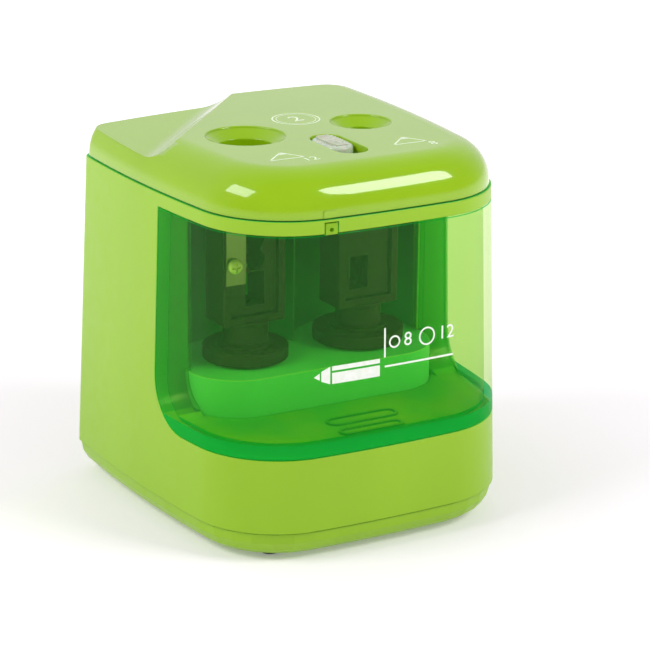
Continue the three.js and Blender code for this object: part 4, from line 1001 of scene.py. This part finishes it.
def make_block(size, axis, side, bore):
    """The sharpener block: a cone for the point that breaks out above the chip window."""
    lo, hi = span(f"sharpener_block_{size}")
    width, height = hi.x - lo.x, hi.z - lo.z
    front = HOLDER_DEPTH / 2 - BLOCK_SETBACK
    body = rounded_block(width, 2 * front, height, axis.x, HOLE_Y, lo.z, BLOCK_CORNER, CUTTER_EDGE)
    point = lathe(
        [(POINT_RADIUS, lo.z - 2), (POINT_RADIUS, lo.z), (bore - POINT_MARGIN, hi.z - 0.4),
         (bore, hi.z + 0.1), (bore, hi.z + 2)], axis.x, HOLE_Y, 72)
    x, window_z = axis.x + CHIP_WINDOW_SHIFT[side], lo.z + CHIP_WINDOW_RISE
    window = block(CHIP_WINDOW_WIDTH, 2 * HOLDER_DEPTH, CHIP_WINDOW_HEIGHT, x, HOLE_Y, window_z)
    mouth = turn_x(rod(BREAK_OUT, HOLDER_DEPTH, 0, 0, 0, 40), -90 * side)
    move(mouth, x, HOLE_Y, lo.z + BREAK_OUT_RISE)
    return cut(body, point, window, mouth, shank_room(axis, side, SCREW_SHANK + GAP))


def make_blade(size, axis, side):
    """A flat blade with a ground edge along its inner side and a round hole for the screw."""
    lo, hi = span(f"blade_{size}")
    x0, x1 = (lo.x, hi.x) if side < 0 else (hi.x, lo.x)
    outer, inner = (lo.y, hi.y) if side < 0 else (hi.y, lo.y)
    edge = x1 + side * BLADE_SLOPE
    corners = [(x0, outer), (edge, outer), (x1, outer - side * BLADE_BEVEL), (x1, inner), (x0, inner)]
    plate = prism_z(corners, lo.z, hi.z)
    tool = turn_x(rod(SCREW_SHANK + RUNNING_GAP, 4, 0, 0, -2, 32), 90)
    return cut(plate, move(tool, axis.x + side * SCREW_OFFSET, (lo.y + hi.y) / 2, SCREW_Z))


def cross_screw(head, head_height, shank, length):
    """A round-headed screw standing on its tip, with a cross recess in the head."""
    dome = [(head, length), (head, length + head_height * 0.45)]
    for angle in quarter(6)[1:]:
        dome.append((head * math.cos(angle) * 0.98, length + head_height * (0.45 + 0.55 * math.sin(angle))))
    body = lathe([(shank * 0.2, 0), (shank, shank * 0.8), (shank, length), *dome], 0, 0, 40)
    long, narrow, recess_z = head * 1.25, head * 0.3, length + head_height - head_height * 0.5
    arms = [block(w, d, head_height, 0, 0, recess_z) for w, d in ((long, narrow), (narrow, long))]
    return cut(body, join(*arms))


def make_blade_screw(size, side):
    lo, hi = span(f"blade_screw_{size}")
    made = cross_screw(SCREW_HEAD, SCREW_HEAD_HEIGHT, SCREW_SHANK, hi.y - lo.y - SCREW_HEAD_HEIGHT)
    inner = hi.y if side < 0 else lo.y
    return move(turn_x(made, 90 if side < 0 else -90), (lo.x + hi.x) / 2, inner, (lo.z + hi.z) / 2)


for size, axis, side, bore in (("large", LARGE_AXIS, -1, LARGE_BORE), ("small", SMALL_AXIS, 1, SMALL_BORE)):
    for piece, made, look, node, slot in (
        ("holder", make_holder(size, axis, side), dark_look, "cutter_holder", "cutter_black"),
        ("block", make_block(size, axis, side, bore), dark_look, "sharpener_block", "cutter_black"),
        ("cutting_edge", make_blade(size, axis, side), blade_look, "blade", "steel"),
        ("screw", make_blade_screw(size, side), screw_look, "blade_screw", "steel"),
    ):
        finished(f"{piece}_{size}", made, look, f"cutter_{size}", f"{node}_{size}", slot)

# ---- Switch ----


def make_knob():
    """The slider: a ribbed head with round ends on a square stem."""
    lo, hi = KNOB_LO, KNOB_HI
    middle = (lo.y + hi.y) / 2
    width = hi.x - lo.x
    top = TOP_Z - KNOB_SUNK
    rings = [(KNOB_HEAD_Z, 0.0)]
    for angle in quarter(6):
        rings.append((top - KNOB_EDGE + KNOB_EDGE * math.sin(angle), KNOB_EDGE * (1 - math.cos(angle))))
    head = loft([
        [(x, y, z) for x, y in stadium(width - 2 * inset, KNOB_LENGTH - 2 * inset, 0, middle)]
        for z, inset in rings])
    stem = block(KNOB_STEM, KNOB_STEM, KNOB_HEAD_Z - lo.z + 0.5, 0, middle, lo.z)
    ribs = []
    for i in range(KNOB_RIBS):
        y = middle + (i - (KNOB_RIBS - 1) / 2) * KNOB_RIB_PITCH
        into_end = max(abs(y - middle) - (KNOB_LENGTH - width) / 2, 0)
        reach = math.sqrt(max((width / 2) ** 2 - into_end**2, 0)) - KNOB_RIB_MARGIN
        if reach > KNOB_RIB_SHORTEST:
            ribs.append(rounded_block(
                2 * reach, KNOB_RIB_WIDTH, hi.z - top + KNOB_RIB_ROOT, 0, y, top - KNOB_RIB_ROOT,
                KNOB_RIB_CORNER, KNOB_RIB_EDGE))
    return join(head, stem, *ribs)


finished("knob", make_knob(), knob_look, "knob", "switch_knob", "knob_clear")

# ---- Printed marks: plain numbers, rings and a pencil ----


def front_y(x, z):
    """The front surface of case and bin at height z."""
    return FRONT_Y + FRONT_LEAN * lean_at(z) + FRONT_ARC - math.sqrt(FRONT_ARC**2 - x * x)


def ring_mark(radius, line, sides=48):
    outer, inner = circle(radius, sides), circle(radius - line, sides)
    return [[outer[i], outer[(i + 1) % sides], inner[(i + 1) % sides], inner[i]] for i in range(sides)]


def line_mark(points, line):
    """A line through points as four-sided strips, cut short enough to follow a curved wall."""
    made = []
    for (x0, y0), (x1, y1) in zip(points, points[1:]):
        length = math.hypot(x1 - x0, y1 - y0)
        ux, uy = (x1 - x0) / length, (y1 - y0) / length
        nx, ny = -uy * line / 2, ux * line / 2
        pieces = max(1, round(length / 2))
        for i in range(pieces):
            a, b = length * i / pieces, length * (i + 1) / pieces
            ax, ay, bx, by = x0 + ux * a, y0 + uy * a, x0 + ux * b, y0 + uy * b
            made.append([(ax - nx, ay - ny), (bx - nx, by - ny), (bx + nx, by + ny), (ax + nx, ay + ny)])
    return made


def number_mark(text, height):
    """The outlines of a plain number, as faces."""
    curve = bpy.data.curves.new("number", "FONT")
    curve.body, curve.size, curve.align_x, curve.align_y = text, height / 0.7, "CENTER", "CENTER"
    written = add_object("number", curve)
    bpy.context.view_layer.update()
    mesh = bpy.data.meshes.new_from_object(written.evaluated_get(bpy.context.evaluated_depsgraph_get()))
    made = [[tuple(mesh.vertices[i].co[:2]) for i in face.vertices] for face in mesh.polygons]
    bpy.data.objects.remove(written)
    bpy.data.curves.remove(curve)
    bpy.data.meshes.remove(mesh)
    return made


def placed(marks, x, y):
    return [[(x + px, y + py) for px, py in face] for face in marks]


def printed(marks, lift):
    """Flat faces laid on a surface, given a little thickness: lift maps (u, v, height) to a place."""
    shape = bmesh.new()
    verts = {}

    def vert(u, v, layer):
        key = (u, v, layer)
        if key not in verts:
            verts[key] = shape.verts.new(lift(u, v, INK_CLEARANCE + INK * layer))
        return verts[key]

    edges = {}
    for face in marks:
        corners = []
        for u, v in face:
            key = (round(u, 4), round(v, 4))
            if not corners or (corners[-1] != key and corners[0] != key):
                corners.append(key)
        if len(set(corners)) < max(3, len(corners)):
            continue
        try:
            shape.faces.new([vert(u, v, 1) for u, v in corners])
            shape.faces.new([vert(u, v, 0) for u, v in reversed(corners)])
        except ValueError:
            continue
        for a, b in zip(corners, corners[1:] + corners[:1]):
            edges[(a, b)] = True
    for a, b in edges:
        if (b, a) not in edges:
            shape.faces.new([vert(*a, 0), vert(*b, 0), vert(*b, 1), vert(*a, 1)])
    mesh = bpy.data.meshes.new("printed")
    shape.to_mesh(mesh)
    shape.free()
    return add_object("printed", mesh)


def pencil_mark(length, height):
    """A plain pencil lying across, its point to the left."""
    tip, lead = height * 1.1, height * 0.35
    h = height / 2
    cuts = [tip + (length - tip) * i / 8 for i in range(9)]
    body = [[(a, -h), (b, -h), (b, h * 0.25), (a, h * 0.25)] for a, b in zip(cuts, cuts[1:])]
    upper = [[(a, h * 0.5), (b, h * 0.5), (b, h), (a, h)] for a, b in zip(cuts, cuts[1:])]
    cone = [[(lead + 0.4, -h * 0.55), (tip - 0.5, -h), (tip - 0.5, h), (lead + 0.4, h * 0.55)]]
    nib = [[(0, 0), (lead, -h * 0.4), (lead, h * 0.4)]]
    return body + upper + cone + nib


def on_front(u, v, height):
    return Vector((u, front_y(u, v) - height, v))


def on_lid(u, v, height):
    return Vector((u, v, TOP_Z - LID_INK_SUNK + height / 2))


# On the bin's front: a pencil and a rule, with a ring and a number for each hole above it.
RULE_Z, NUMBERS_Z, MARK_LINE, RING_MARK_LINE, NUMBER_HEIGHT = 45.0, 50.6, 0.45, 0.4, 3.2
RULE_LEFT, RULE_RIGHT, BAR_BOTTOM_Z, BAR_TOP_Z = -1.2, 17.5, 47.2, 54.2
PENCIL_LENGTH, PENCIL_HEIGHT, PENCIL_X = 17.0, 4.2, -19.5


def size_mark(radius, ring_x, number, number_x):
    """A ring with its number beside it."""
    ring = placed(ring_mark(radius, RING_MARK_LINE), ring_x, NUMBERS_Z)
    return ring + placed(number_mark(number, NUMBER_HEIGHT), number_x, NUMBERS_Z)


rule = line_mark([(RULE_LEFT, RULE_Z), (RULE_RIGHT, RULE_Z)], MARK_LINE)
bar = line_mark([(RULE_LEFT, BAR_BOTTOM_Z), (RULE_LEFT, BAR_TOP_Z)], MARK_LINE)
front_marks = [
    ("print_pencil", placed(pencil_mark(PENCIL_LENGTH, PENCIL_HEIGHT), PENCIL_X, RULE_Z)),
    ("print_lines", rule + bar),
    ("print_eight", size_mark(1.5, 1.4, "8", 5.0)),
    ("print_twelve", size_mark(2.2, 10.2, "12", 15.6)),
]
for name, marks in front_marks:
    finished(name, printed(marks, on_front), print_look, "bin")

# On the lid: a double ring with a number, and beside each hole a triangle with the pencil's size.
RING_X, RING_Y, SIZE_X, SIZE_Y = 2.9, 7.3, 16.3, -23.7

ring = ring_mark(5.9, 0.35) + ring_mark(4.9, 0.2) + placed(number_mark("2", 4.4), 0, 0)
lid_marks = [("print_ring", ring, RING_X, RING_Y)]
for x, number in ((-SIZE_X, "12"), (SIZE_X, "8")):
    triangle = line_mark([(0, 3.8), (-5.6, -1.8), (3.2, -1.8), (0, 3.8)], 0.4)
    triangle.append([(0, 3.6), (-1.6, 2.0), (0.8, 2.0)])
    marks = triangle + placed(number_mark(number, 2.8), 3.6, -4.2)
    lid_marks.append((f"print_size_{number}", marks, x, SIZE_Y))
for name, marks, x, y in lid_marks:
    finished(name, printed(placed(marks, x, y), on_lid), lid_print_look, "case")

# ---- CAD nodes that keep their shape ----

KEPT = {
    "base_plate": case_look, "battery_door": case_look, "gearbox_lower_plate": inner_look,
    "idler_gear": gear_look, "cutter_gear_large": gear_look, "cutter_gear_small": gear_look,
    "idler_axle": steel_look, "motor_shaft": steel_look, "motor": motor_look, "motor_pinion": brass_look,
    "switch_body": black_look,
}
for number in range(1, 5):
    KEPT[f"battery_{number}"] = battery_look
    KEPT[f"battery_spring_{number}"] = spring_look
    KEPT[f"case_screw_{number}"] = steel_look
    KEPT[f"foot_{number}"] = rubber_look
for place in ("front_left", "front_right", "back_left", "back_middle", "back_right"):
    KEPT[f"contact_{place}"] = spring_look
for node, look in KEPT.items():
    slots = frame["nodes"][node].data.materials
    slots.clear()
    slots.append(look)

# ---- Stage ----

# The floor glows little under the object and more further out, as far as GLOW_END, in metres.
GLOW_NEAR, GLOW_FAR, GLOW_START, GLOW_END = 0.22, 0.55, 0.05, 0.30
FLOOR_REACH = 10
AIM = Vector((0, 0, 0.06))
SKY_FRONT, SKY_BACK, SKY_FRONT_AT, SKY_BACK_AT = 0.33, 0.82, -0.2, 0.55


def stage_material():
    """A white table that lights itself a little, so that it runs out into the white backdrop."""
    look = Look("floor_white")
    soft = look.noise(4, 2)
    tint = look.blend((0.81, 0.76, 0.81), (0.83, 0.78, 0.83), soft)
    node = look.surface(
        tint, look.ranged(soft, 0.75, 0.85), Specular_IOR_Level=0.1, Emission_Color=(1, 1, 1, 1))
    reach = look.add("ShaderNodeVectorMath", operation="LENGTH")
    look.link(look.place, reach.inputs[0])
    glow = look.ranged(reach.outputs["Value"], GLOW_NEAR, GLOW_FAR, GLOW_START, GLOW_END)
    look.link(glow, node.inputs["Emission Strength"])
    return look.material


floor_corners = [(sx * FLOOR_REACH, sy * FLOOR_REACH, 0) for sx, sy in ((-1, -1), (1, -1), (1, 1), (-1, 1))]
floor = solid(floor_corners, [(0, 1, 2, 3)])
floor.name = "floor"
floor.data.materials.append(stage_material())
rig.stage(floor)

world = bpy.data.worlds.new("studio")
bpy.context.scene.world = world
world.use_nodes = True
sky = world.node_tree.nodes
direction = sky.new("ShaderNodeTexCoord")
parts = sky.new("ShaderNodeSeparateXYZ")
backdrop = sky.new("ShaderNodeMapRange")
set_range(backdrop, SKY_FRONT_AT, SKY_BACK_AT, SKY_FRONT, SKY_BACK)
world.node_tree.links.new(direction.outputs["Generated"], parts.inputs[0])
world.node_tree.links.new(parts.outputs["Y"], backdrop.inputs["Value"])
world.node_tree.links.new(backdrop.outputs["Result"], sky["Background"].inputs["Strength"])
sky["Background"].inputs["Color"].default_value = (1, 1, 1, 1)


def softbox(name, direction, distance, width, height, brightness):
    """A lamp of that brightness, seen from the object in that direction."""
    data = bpy.data.lights.new(name, "AREA")
    data.shape, data.size, data.size_y = "RECTANGLE", width, height
    data.energy = brightness * math.pi * width * height
    lamp = add_object(name, data)
    lamp.location = AIM + Vector(direction).normalized() * distance
    lamp.rotation_euler = (AIM - lamp.location).to_track_quat("-Z", "Y").to_euler()


softbox("right_box", (0.50, -0.60, 0.63), 1.0, 0.37, 0.36, 12.0)
softbox("left_box", (-0.75, 0.03, 0.66), 1.0, 0.53, 0.34, 8.2)

# ---- Camera ----

CAMERA_PLACE = Vector((-293.7, -525.9, 238.3)) * MM
CAMERA_RIGHT = Vector((0.8695, -0.4939, 0.0106))
CAMERA_UP = Vector((0.1439, 0.2737, 0.9510))
camera_data = bpy.data.cameras.new("camera")
camera_data.lens, camera_data.sensor_width = 144.2, 36.0
camera_data.clip_start, camera_data.clip_end = 0.01, 20
camera = add_object("camera", camera_data)
right = CAMERA_RIGHT.normalized()
up = (CAMERA_UP - right * CAMERA_UP.dot(right)).normalized()
back = right.cross(up)
camera.matrix_world = Matrix.Translation(CAMERA_PLACE) @ Matrix((right, up, back)).transposed().to_4x4()
bpy.context.scene.camera = camera
bpy.context.scene.view_settings.view_transform = "Standard"

visual_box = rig.bounds()
with open("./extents.json", "w") as sizes:
    json.dump({"cad": [list(v) for v in cad_box], "visual": [list(v) for v in visual_box]}, sizes)
